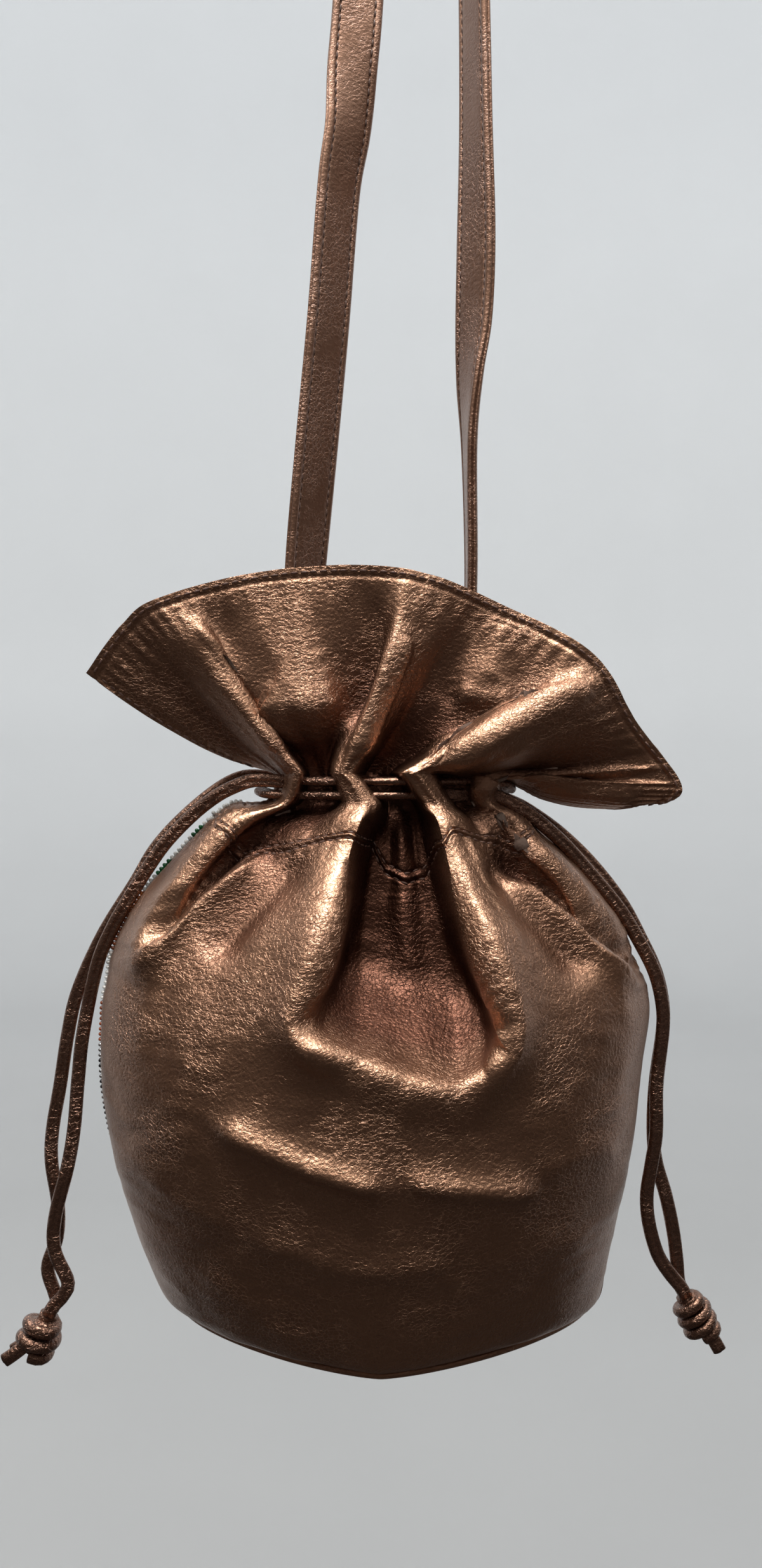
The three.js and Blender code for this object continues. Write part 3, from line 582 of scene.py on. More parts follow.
def panel_points(q, row, near):
    """A panel's dressed surface, in millimetres on the near side, and how far it lies in a fold, 0 to 1, the
    mask of the painted shade in the folds.
    """
    rim_share = 1.0 if near else FAR_RIM
    t = warped_section(q, row)

    def plain(at_q, at_t):
        return wall_points(at_q, at_t, rim_share)

    points = plain(q, t)
    points[:, 1] -= PROUD
    normals = surface_normals(plain, q, t, *PLAIN_STEPS)
    relief, basin_rim = np.zeros(len(q)), np.zeros(len(q))
    if near:
        scale = VIEW_BACK / (VIEW_BACK + points[:, 1])
        seen = points[:, 0] * scale, VIEW_HEIGHT + (points[:, 2] - VIEW_HEIGHT) * scale
        relief += ridge_heights(RIDGES, *seen)
        basin_rim += ridge_heights([BASIN_RIM], *seen)
    flap = np.clip(t - NECK, 0, 1)
    flap_folds = fold_depth(q, np.full_like(q, NECK), ease(*FLAP_BLEND, flap)) * (1 - flap**FLAP_FLARE)
    folds = np.where(t > NECK, flap_folds, fold_depth(q, np.minimum(t, NECK)))
    # How deep the leather lies in a fold: the mask of the painted shade that darkens its colour there.
    floor = np.clip((folds - relief - basin_rim) / FOLD_SHADE_DEPTH, 0, 1)
    relief += uneven(points, q, t, NEAR_SEED if near else FAR_SEED)
    relief += casing_tuck(q, row) + hem_draw(q, t, rim_share)
    relief -= BASE_TURN * np.exp(-(SECTIONS[0].drop + points[:, 2]) / BASE_TURN_TALL)
    from_side = np.minimum(q, PLEATS - q) * np.interp(t, *zip(*GIRTHS)) / PLEATS
    relief -= np.where(t < NECK, SIDE_TURN, FLAP_SIDE_TURN) * bulge(from_side, 0, SIDE_TURN_WIDE)
    points += normals * relief[:, None] + unit(normals + RIM_LEAN) * basin_rim[:, None]
    return points, floor


def to_frame(points):
    """Purse millimetres to the frame's metres."""
    return (np.asarray(points, float) + HANG_OFFSET) * MM


# Making and placing pieces.

def bent_grid(columns, rows, place):
    """A grid whose corners, as shares 0 to 1 of its two sides, are moved to their places."""
    mesh = bmesh.new()
    bmesh.ops.create_grid(mesh, x_segments=columns, y_segments=rows, size=0.5)
    shares = np.array([vert.co[:2] for vert in mesh.verts]) + 0.5
    uv = mesh.loops.layers.uv.new("surface")
    for vert, share in zip(mesh.verts, shares):
        for loop in vert.link_loops:
            loop[uv].uv = share
    for vert, point in zip(mesh.verts, place(shares[:, 0], shares[:, 1])):
        vert.co = point
    return mesh


def swept(line, along, across, section):
    """A closed tube: a section carried along a line. across is the section's first direction."""
    across = unit(across - along * np.sum(across * along, axis=1, keepdims=True))
    other = np.cross(along, across)
    section = np.asarray(section, float)
    around, steps = len(section), len(line) - 1

    def place(a, b):
        i = np.rint(a * around).astype(int) % around
        k = np.rint(b * steps).astype(int)
        return to_frame(line[k] + across[k] * section[i, :1] + other[k] * section[i, 1:])

    mesh = bent_grid(around, steps, place)
    bmesh.ops.remove_doubles(mesh, verts=mesh.verts, dist=1e-6)
    bmesh.ops.holes_fill(mesh, edges=[e for e in mesh.edges if e.is_boundary], sides=0)
    bmesh.ops.recalc_face_normals(mesh, faces=mesh.faces)
    return mesh


# A rolled cord's section: its sides, its fullness, and the grooves at its lap and behind.
CORD_SIDES = 24
CORD_FULL = 1.03
LAP_AT, BACK_AT, LAP_WIDE, LAP_DEEP = 2.95, 5.9, 0.3, 0.36


def rolled_section(thick, wide):
    """Section of a cord folded from a strip of leather: flattened, with the groove where the edge laps."""
    turns = np.linspace(0, 2 * np.pi, CORD_SIDES, endpoint=False)
    groove = bulge(turns, LAP_AT, LAP_WIDE) + 0.5 * bulge(turns, BACK_AT, LAP_WIDE)
    r = 0.5 * (CORD_FULL - LAP_DEEP * groove)
    return np.stack([thick * r * np.cos(turns), wide * r * np.sin(turns)], axis=1)


def cord_section():
    return rolled_section(CORD_FLAT * in_mm("cord"), CORD_WIDE * in_mm("cord"))


def rolled(route, spacing, across, section):
    """A cord rolled along a route, with its line. across is the direction of its thickness."""
    line, along = even_line(route, spacing)
    return swept(line, along, np.tile(across, (len(line), 1)), section), line


def made(name, mesh, *materials):
    """A smooth shaded object of a bmesh, at the origin."""
    data = bpy.data.meshes.new(name)
    mesh.to_mesh(data)
    mesh.free()
    data.shade_smooth()
    for material in materials:
        data.materials.append(material)
    piece = bpy.data.objects.new(name, data)
    bpy.context.scene.collection.objects.link(piece)
    return piece


def settle(piece, slot, *nodes):
    """The piece rides on the purse and stands for solids; its slot is not used."""
    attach(piece, BODY)
    if nodes:
        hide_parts(*nodes)


def join(mesh, other):
    """Adds another bmesh's shape to a bmesh."""
    data = bpy.data.meshes.new("part")
    other.to_mesh(data)
    other.free()
    mesh.from_mesh(data)
    bpy.data.meshes.remove(data)


BATCH = 24


def repeated(places, around, rings):
    """Small round shapes, each set by its own matrix."""
    whole = bmesh.new()
    for start in range(0, len(places), BATCH):
        part = bmesh.new()
        for place in places[start:start + BATCH]:
            bmesh.ops.create_uvsphere(part, u_segments=around, v_segments=rings, radius=1.0, matrix=place)
        join(whole, part)
    return whole


def lying(point, along, normal, halves):
    """Places a shape of the given half sizes on a surface, its length along a line."""
    x, z = Vector(along), Vector(normal)
    y = z.cross(x).normalized()
    turn = Matrix((x, y, x.cross(y))).transposed().to_4x4()
    return Matrix.Translation(to_frame(point)) @ turn @ Matrix.Diagonal((*(h * MM for h in halves), 1))


# Half sizes of a stitch, as shares of the pitch and the thread, and its sides and rings.
STITCH_LONG, STITCH_WIDE, STITCH_TALL = 0.42, 0.75, 0.6
STITCH_SIDES = (6, 4)


def stitch_places(line, along, normals):
    """Places of stitches along a line of millimetres on a surface."""
    pitch, thread = in_mm("pitch"), in_mm("thread")
    run = run_along(line)
    at = np.searchsorted(run, np.arange(pitch / 2, run[-1], pitch))
    halves = (STITCH_LONG * pitch, STITCH_WIDE * thread, STITCH_TALL * thread)
    return [lying(line[k], along[k], normals[k], halves) for k in np.minimum(at, len(line) - 1)]


def sewn(name, places, slot):
    """Stitches at their places."""
    settle(made(name, repeated(places, *STITCH_SIDES), thread_material()), slot)


# Materials.

def fill(tree, node, values):
    """Gives a node its input values or links."""
    for key, value in values.items():
        if isinstance(value, bpy.types.NodeSocket):
            tree.links.new(value, node.inputs[key])
        else:
            node.inputs[key].default_value = value


def add(tree, kind, values=None, **settings):
    """A node with its settings and its input values or links."""
    node = tree.nodes.new(kind)
    for key, value in settings.items():
        setattr(node, key, value)
    fill(tree, node, values or {})
    return node


def sum_of(tree, first, second):
    return add(tree, "ShaderNodeMath", {0: first, 1: second}, operation="ADD").outputs[0]


def times(tree, first, second):
    return add(tree, "ShaderNodeMath", {0: first, 1: second}, operation="MULTIPLY").outputs[0]


def remap(tree, value, low, high, to_low, to_high):
    ends = {"From Min": low, "From Max": high, "To Min": to_low, "To Max": to_high}
    return add(tree, "ShaderNodeMapRange", {"Value": value, **ends}).outputs["Result"]


def ramp(tree, value, keys):
    """A value that runs straight from key to key."""
    total = keys[0][1]
    for (low, first), (high, second) in zip(keys, keys[1:]):
        total = sum_of(tree, total, remap(tree, value, low, high, 0.0, second - first))
    return total


def mix_colours(tree, factor, first, second):
    return add(tree, "ShaderNodeMix", {0: factor, 6: first, 7: second}, data_type="RGBA").outputs[2]


def moved(tree, operation, first, second):
    """Vectors put together."""
    return add(tree, "ShaderNodeVectorMath", {0: first, 1: second}, operation=operation).outputs[0]


def noise_of(tree, where, scale, **values):
    return add(tree, "ShaderNodeTexNoise", {"Vector": where, "Scale": scale, **values}).outputs[0]


def object_places(tree):
    return tree.nodes.new("ShaderNodeTexCoord").outputs["Object"]


def bumped(tree, height, strength, distance):
    values = {"Height": height, "Strength": strength, "Distance": distance}
    return add(tree, "ShaderNodeBump", values).outputs["Normal"]


def grain_group():
    """Leather grain: fine pebbles, creases between them, uneven tone and glinting flecks."""
    name = "Leather grain"
    if name in bpy.data.node_groups:
        return bpy.data.node_groups[name]
    tree = bpy.data.node_groups.new(name, "ShaderNodeTree")
    face = tree.interface
    face.new_socket("Vector", in_out="INPUT", socket_type="NodeSocketVector")
    for name in ("Pebbles", "Creases"):
        face.new_socket(name, in_out="INPUT", socket_type="NodeSocketFloat")
    start = tree.nodes.new("NodeGroupInput")
    where = start.outputs["Vector"]
    wander = add(tree, "ShaderNodeTexNoise", {"Vector": where, "Scale": 260.0, "Detail": 3.0})
    shift = moved(tree, "MULTIPLY", wander.outputs["Color"], (0.0025, 0.0025, 0.0025))
    place = moved(tree, "ADD", where, shift)
    pebble, crease = (
        add(tree, "ShaderNodeTexVoronoi", {"Vector": place, "Scale": start.outputs[count]}, feature=feature)
        for count, feature in (("Pebbles", "SMOOTH_F1"), ("Creases", "DISTANCE_TO_EDGE")))
    fine = noise_of(tree, where, 2600.0, Detail=2.0)
    broad = noise_of(tree, where, 38.0, Detail=5.0, Roughness=0.6)
    patch = remap(tree, broad, 0.42, 0.62, 0.15, 1.0)
    lines = times(tree, remap(tree, crease.outputs["Distance"], 0.0, 0.06, 1.0, 0.0), patch)
    long = moved(tree, "MULTIPLY", place, (0.55, 0.8, 1.6))
    wrinkle = noise_of(tree, long, 330.0, Detail=3.0, Distortion=0.6)
    middle = add(tree, "ShaderNodeMath", {0: sum_of(tree, wrinkle, -0.5)}, operation="ABSOLUTE").outputs[0]
    folded = times(tree, remap(tree, middle, 0.0, 0.1, 1.0, 0.0), patch)
    round_top = remap(tree, pebble.outputs["Distance"], 0.0, 0.8, 1.0, 0.0)
    height = sum_of(tree, times(tree, round_top, 0.55), times(tree, fine, 0.35))
    height = sum_of(tree, height, sum_of(tree, times(tree, lines, -0.45), times(tree, folded, -0.5)))
    end = tree.nodes.new("NodeGroupOutput")
    for name, value in (("Height", height), ("Crease", lines), ("Tone", broad), ("Fleck", fine)):
        face.new_socket(name, in_out="OUTPUT", socket_type="NodeSocketFloat")
        tree.links.new(value, end.inputs[name])
    return tree


def blank_material(name):
    """A new material's tree, with its one shader."""
    material = bpy.data.materials.new(name)
    material.use_nodes = True
    tree = material.node_tree
    return material, tree, tree.nodes["Principled BSDF"]


def leather(name, finish, metallic, roughness, pebbles, creases, depth):
    """Leather with a rubbed metallic finish, and painted shade in the depths of its folds."""
    if name in bpy.data.materials:
        return bpy.data.materials[name]
    material, tree, shader = blank_material(name)
    grain = add(tree, "ShaderNodeGroup", node_tree=grain_group())
    fill(tree, grain, {"Vector": object_places(tree), "Pebbles": pebbles, "Creases": creases})
    crease, tone, fleck = (grain.outputs[output] for output in ("Crease", "Tone", "Fleck"))
    fold = add(tree, "ShaderNodeAttribute", attribute_name="fold").outputs["Fac"]
    shade = colour(finish)
    # Umber is mixed in by random tone, as painted shade where the leather lies deep in a fold, and along the
    # grain's creases; the coat also thins in the folds.
    for share in (remap(tree, tone, 0.3, 0.7, 0.0, 0.3), times(tree, fold, 0.95), times(tree, crease, 0.25)):
        shade = mix_colours(tree, share, shade, colour("umber_and_fold_shade"))
    normal = bumped(tree, grain.outputs["Height"], 1.0, depth)
    fill(tree, shader, {
        "Base Color": shade,
        "Roughness": sum_of(tree, remap(tree, fleck, 0.3, 0.7, -0.08, 0.08),
                            remap(tree, tone, 0.3, 0.7, roughness - 0.05, roughness + 0.06)),
        "Metallic": remap(tree, crease, 0.0, 1.0, metallic, metallic - 0.35),
        "Normal": normal,
        "Coat Normal": normal,
        "Coat Weight": remap(tree, fold, 0.0, 1.0, 0.38, 0.08),
        "Coat IOR": 1.9,
        "Coat Roughness": 0.3,
    })
    return material


def bronze_leather():
    return leather("panel_bronze", "bronze", metallic=0.96, roughness=0.36, pebbles=880.0, creases=640.0,
                   depth=0.00026)


def strap_leather():
    return leather("strap_bronze", "strap", metallic=0.95, roughness=0.40, pebbles=900.0, creases=640.0,
                   depth=0.00014)


def cord_leather():
    return leather("cord_bronze", "cord", metallic=0.95, roughness=0.26, pebbles=760.0, creases=420.0,
                   depth=0.00034)


def finish(name, first, second, tone, shares, nap, rough, relief=None, metallic=0.0):
    """Two colours mixed by a noise, with a finer noise in its roughness and relief."""
    if name in bpy.data.materials:
        return bpy.data.materials[name]
    material, tree, shader = blank_material(name)
    where = object_places(tree)
    mixed = remap(tree, noise_of(tree, where, tone[0], Detail=tone[1]), *shares)
    fine = noise_of(tree, where, nap[0], Detail=nap[1])
    fill(tree, shader, {"Base Color": mix_colours(tree, mixed, first, second),
                        "Roughness": remap(tree, fine, 0.3, 0.7, *rough), "Metallic": metallic})
    if relief:
        fill(tree, shader, {"Normal": bumped(tree, fine, *relief)})
    return material


def suede():
    """The flesh side of the leather."""
    return finish("leather_flesh_side", colour("lining"), colour("umber_and_fold_shade"), tone=(60.0, 4.0),
                  shares=(0.35, 0.65, 0.0, 0.5), nap=(1400.0, 4.0), rough=(0.75, 0.95), relief=(0.6, 0.0003))


def thread_material():
    return finish("sewing_thread", colour("thread"), colour("umber_and_fold_shade"), tone=(1800.0, 3.0),
                  shares=(0.0, 1.0, 0.0, 1.0), nap=(1800.0, 3.0), rough=(0.45, 0.7), relief=(0.5, 0.0002))


def bead_material(kind):
    """Glass seed beads of one colour, each a little different."""
    dark = tuple(0.55 * c for c in colour(kind)[:3]) + (1.0,)
    return finish(kind + "_beads", colour(kind), dark, tone=(420.0, 1.0), shares=(0.35, 0.65, 0.0, 1.0),
                  nap=(420.0, 1.0), rough=(0.12, 0.3), metallic=0.9 if kind == "silver" else 0.0)


# Operators.

# A panel's mesh: its columns, and the runs of rows up to a section, closer at the casing seam and at the rim.
PANEL_COLUMNS = 210
ROW_RUNS = [(0, 0), (CASING_ROW - 0.22, 112), (CASING_ROW + 0.22, 18), (NECK, 30), (NECK + 0.9, 44)]
RIM_ROWS = 16


def panel_rows():
    """The sections of a panel's rows."""
    runs = [np.linspace(low, high, count, endpoint=False)
            for (low, _), (high, count) in zip(ROW_RUNS, ROW_RUNS[1:])]
    return np.concatenate([*runs, np.linspace(ROW_RUNS[-1][0], NECK + 1, RIM_ROWS)])


# The rim of a flap, the area of a flat panel, and the turned edges of a flap, as sections and as millimetres.
RIM_LENGTH = 290.0
HEM_ROWS, HEM_EASE = 0.09, 0.02
SIDE_HEM, SIDE_HEM_EASE, SIDE_HEM_FROM = 7, 2, 0.1
EDGE_ROUND, EDGE_ANGLE = 0.0006, math.radians(62)


def hem_shares(q, row):
    """Thickness of a panel as a share of the hem's."""
    plain = sizes().leather / sizes().hem
    from_side = np.minimum(q, PLEATS - q) * RIM_LENGTH / PLEATS
    rim = np.clip((row - NECK - 1 + HEM_ROWS) / HEM_EASE, 0, 1)
    side = np.clip((SIDE_HEM - from_side) / SIDE_HEM_EASE, 0, 1) * (row > NECK + SIDE_HEM_FROM)
    return plain + (1 - plain) * np.maximum(rim, side)


def modify(piece, name, kind, **settings):
    modifier = piece.modifiers.new(name, kind)
    for key, value in settings.items():
        setattr(modifier, key, value)


class PURSE_OT_panels(bpy.types.Operator):
    """The two gathered leather panels with their flaps"""
    bl_idname = "purse.panels"
    bl_label = "Panels"

    def execute(self, context):
        rows = panel_rows()
        for name, near in (("near_leather", True), ("far_leather", False)):
            laid = []

            def place(a, b):
                q = PLEATS * (a if near else 1 - a)
                row = np.interp(b * (len(rows) - 1), np.arange(len(rows)), rows)
                points, floor = panel_points(q, row, near)
                laid.extend((q, row, floor))
                if not near:
                    points[:, 1] *= -1
                return to_frame(points)

            mesh = bent_grid(PANEL_COLUMNS, len(rows) - 1, place)
            piece = made(name, mesh, bronze_leather(), suede())
            q, row, floor = laid
            # The fold depth goes to the leather's material as the mask of its painted shade in the folds.
            piece.data.attributes.new("fold", "FLOAT", "POINT").data.foreach_set("value", floor)
            hem = piece.vertex_groups.new(name="thickness")
            for k, share in enumerate(hem_shares(q, row)):
                hem.add([k], float(share), "REPLACE")
            modify(piece, "Wall", "SOLIDIFY", thickness=sizes().hem, offset=-1.0, vertex_group=hem.name,
                   use_even_offset=False, material_offset=1, material_offset_rim=0)
            modify(piece, "Edges", "BEVEL", width=EDGE_ROUND, segments=2, profile=0.5, limit_method="ANGLE",
                   angle_limit=EDGE_ANGLE)
            settle(piece, "panel_leather", "near_panel" if near else "far_panel")
        return {"FINISHED"}


# The base inside the panels' lower edge: its share of the lowest section, its lift, and the roll of its edge.
BASE_SHARE = 0.94
BASE_LIFT = 1.6
BASE_SIDES = 128
BASE_INSET, BASE_ROLL, BASE_ROLL_ANGLE = 0.004, 0.0009, 1.0


class PURSE_OT_base(bpy.types.Operator):
    """The flat base, with a rolled edge"""
    bl_idname = "purse.base"
    bl_label = "Base"

    def execute(self, context):
        low = SECTIONS[0]
        turns = np.linspace(0, 2 * np.pi, BASE_SIDES, endpoint=False)
        s, c = np.sin(turns), np.cos(turns)
        reach = np.where(s < 0, low.left, low.right)
        outline = BASE_SHARE * np.stack([np.sign(s) * reach * np.abs(s)**(2 / low.power),
                                         -np.sign(c) * low.depth * np.abs(c)**(2 / low.power)], axis=1)
        under = BASE_LIFT - low.drop - in_mm("base")
        mesh = bmesh.new()
        ring = bmesh.ops.create_circle(mesh, segments=BASE_SIDES, radius=1.0, cap_ends=True)["verts"]
        for vert, point in zip(ring, outline):
            vert.co = to_frame((*point, under))
        face = mesh.faces[:]
        bmesh.ops.recalc_face_normals(mesh, faces=face)
        lifted = bmesh.ops.extrude_face_region(mesh, geom=face)["geom"]
        top = [v for v in lifted if isinstance(v, bmesh.types.BMVert)]
        bmesh.ops.translate(mesh, vec=(0, 0, sizes().base), verts=top)
        bmesh.ops.recalc_face_normals(mesh, faces=mesh.faces)
        flats = [f for f in mesh.faces if len(f.verts) > 4]
        bmesh.ops.inset_region(mesh, faces=flats, thickness=BASE_INSET, depth=0.0)
        rims = [e for e in mesh.edges if len(e.link_faces) == 2 and e.calc_face_angle() > BASE_ROLL_ANGLE]
        bmesh.ops.bevel(mesh, geom=rims, offset=BASE_ROLL, segments=3, profile=0.5, affect="EDGES",
                        material=-1)
        settle(made("base_leather", mesh, bronze_leather()), "panel_leather", "base_panel")
        return {"FINISHED"}


UP = np.array((0.0, 0.0, 1.0))
BACK = np.array((0.0, 1.0, 0.0))


def strap_line(t):
    return np.stack([column(STRAP, "x", t), np.zeros_like(t), column(STRAP, "z", t)], axis=1)


def strap_frames(spacing):
    """The strap's middle line with the directions along it, across its width and out of its face."""
    end = len(STRAP) - 1
    t = np.linspace(0, end, FINE_STEPS * end)
    run = run_along(strap_line(t))
    t = np.interp(np.linspace(0, run[-1], round(run[-1] / spacing) + 1), run, t)
    line = strap_line(t)
    along = unit(np.gradient(line, axis=0))
    lean = np.radians(90 - column(STRAP, "turn", t))[:, None]
    face = np.cross(BACK, along) * np.cos(lean) - BACK * np.sin(lean)
    return line, along, np.cross(along, face), face


STRAP_SPACING = 3.0


class PURSE_OT_strap(bpy.types.Operator):
    """The shoulder strap of two plies with turned edges"""
    bl_idname = "purse.strap"
    bl_label = "Shoulder strap"

    def execute(self, context):
        half_wide, half_thick = in_mm("strap_width") / 2, in_mm("strap") / 2
        quarter = [(u * half_wide, v * half_thick) for u, v in STRAP_HALF_SECTION]
        right = quarter + [(u, -v) for u, v in quarter[-2::-1]]
        section = right + [(-u, v) for u, v in right[-2:0:-1]]
        line, along, wide, _ = strap_frames(STRAP_SPACING)
        mesh = swept(line, along, wide, section)
        settle(made("strap_plies", mesh, strap_leather()), "strap_leather", "shoulder_strap")
        return {"FINISHED"}


CORD_SPACING = 2.0


class PURSE_OT_cords(bpy.types.Operator):
    """The drawstrings round the neck and their free ends"""
    bl_idname = "purse.cords"
    bl_label = "Drawstrings"

    def execute(self, context):
        for node, half in HELD.items():
            half = np.array(half, float)
            route = np.concatenate([half, half[-2::-1] * (1, -1, 1)])
            mesh, _ = rolled(route, CORD_SPACING, UP, cord_section())
            settle(made("held_" + node, mesh, cord_leather()), "cord_leather", node)
        for node, route in FREE.items():
            mesh, line = rolled(route, CORD_SPACING, BACK, cord_section())
            piece = made("free_" + node, mesh, cord_leather())
            settle(piece, "cord_leather", node)
        return {"FINISHED"}


# A knot's turns: how their ends run in, how much the middle swells, and their band. Its cut ends: their tilt,
# start and curl. Its core.
TURN_POINTS = 26
RUN_IN, RUN_IN_REACH, SWELL = 0.12, 0.3, 0.12
BAND_THICK, BAND_WIDE = 1.8, 2.1
TAIL_TILT, TAIL_START, TAIL_CURL, TAIL_BEND, TAIL_POINTS = 0.5, 1.5, 0.6, 2.4, 9
CORE_UP, CORE_DOWN, CORE_THICK, CORE_WIDE, CORE_SPACING = 9, 6, 6.4, 6.8, 1.5
KNOT_SPACING = 1.2


class PURSE_OT_knots(bpy.types.Operator):
    """The knots that join the ends of each drawstring"""
    bl_idname = "purse.knots"
    bl_label = "Knots"

    def execute(self, context):
        for node, knot in KNOTS.items():
            down = np.array((math.sin(knot.lean), 0.0, -math.cos(knot.lean)))
            out = np.array((math.cos(knot.lean), 0.0, math.sin(knot.lean)))
            middle = np.array((knot.x, 0.0, knot.z))
            turns = np.linspace(-RUN_IN, knot.turns + RUN_IN, int(TURN_POINTS * knot.turns))
            ends = [-RUN_IN, RUN_IN, knot.turns - RUN_IN, knot.turns + RUN_IN]
            reach = knot.ring * np.interp(turns, ends, [RUN_IN_REACH, 1, 1, RUN_IN_REACH])
            reach = (reach * (1 + SWELL * np.sin(np.pi * turns / knot.turns)))[:, None]
            drop = ((turns / knot.turns - 0.5) * knot.rise)[:, None]
            angle = 2 * np.pi * turns[:, None]
            wraps = middle + down * drop + out * reach * np.cos(angle) - BACK * reach * np.sin(angle)
            band = rolled_section(BAND_THICK * knot.tube, BAND_WIDE * knot.tube)
            mesh, _ = rolled(wraps[::3], KNOT_SPACING, down, band)
            for side, y, length in knot.tails:
                tilt = TAIL_TILT * side
                way = down * math.cos(tilt) + out * math.sin(tilt)
                tail = middle + out * TAIL_START * side + BACK * y
                tail = tail + np.linspace(0, length, TAIL_POINTS)[:, None] * way
                tail += np.sin(np.linspace(0, TAIL_BEND, TAIL_POINTS))[:, None] * out * TAIL_CURL
                join(mesh, rolled(tail, KNOT_SPACING, -BACK, cord_section())[0])
            core = [middle - down * CORE_UP, middle, middle + down * CORE_DOWN]
            join(mesh, rolled(core, CORE_SPACING, -BACK, rolled_section(CORE_THICK, CORE_WIDE))[0])
            settle(made("tied_" + node, mesh, cord_leather()), "cord_leather", node)
        return {"FINISHED"}


def panel_line(q, row, near, lift):
    """A line on a panel, lifted off it a little, with its directions and the panel's."""
    def dressed(at_q, at_row):
        return panel_points(at_q, at_row, near)[0]

    normals = surface_normals(dressed, q, row, *DRESSED_STEPS)
    points = dressed(q, row) + normals * lift
    if not near:
        points, normals = points * (1, -1, 1), normals * (1, -1, 1)
    return points, unit(np.gradient(points, axis=0)), normals


# Lines of stitching: their points, how far they stay from the seams, the casing's lines beside its seam, how
# high thread lies on the leather, and the strap's lines as shares of its section.
LINE_POINTS, SIDE_LINE_POINTS, STRAP_LINE_SPACING = 900, 120, 0.5
HEM_CLEAR = slice(10, -10)
CASING_CLEAR, CASING_LINE = 0.12, 0.1
SIDE_LINE_FROM, SIDE_LINE_TO = 0.12, 0.95
HEM_THREAD, SEAM_THREAD = 0.1, 0.05
STRAP_LINE, STRAP_LINE_TALL = 0.69, 0.86


class PURSE_OT_stitches(bpy.types.Operator):
    """Stitching of the hems, the casing and the strap"""
    bl_idname = "purse.stitches"
    bl_label = "Stitching"

    def execute(self, context):
        hem = in_mm("hem_line")
        q = np.linspace(0, PLEATS, LINE_POINTS)
        inside = q[(q > CASING_CLEAR) & (q < PLEATS - CASING_CLEAR)]
        hem_row = NECK + 1 - hem / flap_heights(q, 1.0)
        side_row = np.linspace(NECK + SIDE_LINE_FROM, NECK + SIDE_LINE_TO, SIDE_LINE_POINTS)
        lines = [(q[HEM_CLEAR], hem_row[HEM_CLEAR], HEM_THREAD)]
        for row in (CASING_ROW - CASING_LINE, CASING_ROW + CASING_LINE):
            lines.append((inside, np.full_like(inside, row), SEAM_THREAD))
        lines.append((np.full_like(side_row, 2 * hem / RIM_LENGTH * PLEATS), side_row, SEAM_THREAD))
        for name, near in (("near_stitches", True), ("far_stitches", False)):
            places = []
            for at_q, row, lift in lines:
                places += stitch_places(*panel_line(at_q, row, near, lift))
            sewn(name, places, "panel_leather")
        places = []
        line, along, wide, face = strap_frames(STRAP_LINE_SPACING)
        aside = wide * STRAP_LINE * in_mm("strap_width") / 2
        above = face * STRAP_LINE_TALL * in_mm("strap") / 2
        for side in (-1, 1):
            for way in (-1, 1):
                places += stitch_places(line + aside * side + above * way, along, face * way)
        sewn("strap_stitches", places, "strap_leather")
        return {"FINISHED"}


# Lanes of beads beside the left seam, those below zero on the near panel: their places across a panel and
# their drops, and a bead's half sizes and lift as shares of its diameter, with its sides and rings.
BEAD_LANES = (-3, -2, -1, 1, 2, 3)
LANE_WIDE, LANE_START, LANE_POINTS = 0.034, 0.014, 1600
BEADS_TOP, BEADS_BOTTOM = 9, 124
BEAD_HALVES, BEAD_LIFT, BEAD_SIDES = (0.42, 0.5, 0.5), 0.3, (8, 5)


class PURSE_OT_beads(bpy.types.Operator):
    """Seed beads sewn along the left seam"""
    bl_idname = "purse.beads"
    bl_label = "Seed beads"

    def execute(self, context):
        size = in_mm("bead")
        rows = section_at(np.linspace(BEADS_BOTTOM, BEADS_TOP, LANE_POINTS))
        halves = [size * share for share in BEAD_HALVES]
        places = {}
        for lane in BEAD_LANES:
            q = np.full_like(rows, abs(lane) * LANE_WIDE - LANE_START)
            line, along, normals = panel_line(q, rows, lane < 0, BEAD_LIFT * size)
            run = run_along(line)
            for k in np.searchsorted(run, np.arange(0, run[-1], size)):
                drop = -line[k, 2]
                kind = next((r.colour for r in BEAD_RUNS if r.top <= drop < r.bottom), "white")
                places.setdefault(kind, []).append(lying(line[k], along[k], normals[k], halves))
        for kind, spots in places.items():
            settle(made("beads_" + kind, repeated(spots, *BEAD_SIDES), bead_material(kind)), "panel_leather")
        return {"FINISHED"}


# The studio, in metres: a round floor that curves up into a wall, and its tone by distance from the middle,
# a painted shade that makes the floor darker towards the middle.
FLOOR_LEVEL, FLOOR_RADIUS, FLOOR_CURVE, WALL_TOP = -1.15, 2.6, 1.2, 3.6
FLOOR_SHADE_TONE = [(0.4, 0.33), (1.3, 0.39), (2.1, 0.495), (2.75, 0.545), (3.4, 0.655), (3.7, 0.77), (3.8, 0.88)]
# A tent that only reflections see, and its brightness by height.
TENT_MIDDLE = (-0.016, -0.38, 0.1)
TENT_SIZE = (2.4, 1.44, 2.4)
TENT_GLOW = [(-1.1, 0.04), (-0.62, 0.085), (0.0, 0.12), (0.45, 0.4), (0.85, 1.6), (1.3, 2.2)]
TENT_LOW_TINT, TENT_HIGH_TINT = (1.0, 0.84, 0.77, 1.0), (1.0, 1.0, 0.95, 1.0)
BLACK = (0.0, 0.0, 0.0, 1.0)


def studio_light(name, place, aim, width, depth, power, tint):
    lamp = bpy.data.lights.new(name, "AREA")
    lamp.shape = "RECTANGLE"
    lamp.size, lamp.size_y = width, depth
    lamp.energy = power
    lamp.color = tint
    thing = bpy.data.objects.new(name, lamp)
    thing.location = place
    thing.rotation_euler = (Vector(aim) - Vector(place)).to_track_quat("-Z", "Y").to_euler()
    thing.visible_camera = False
    bpy.context.scene.collection.objects.link(thing)


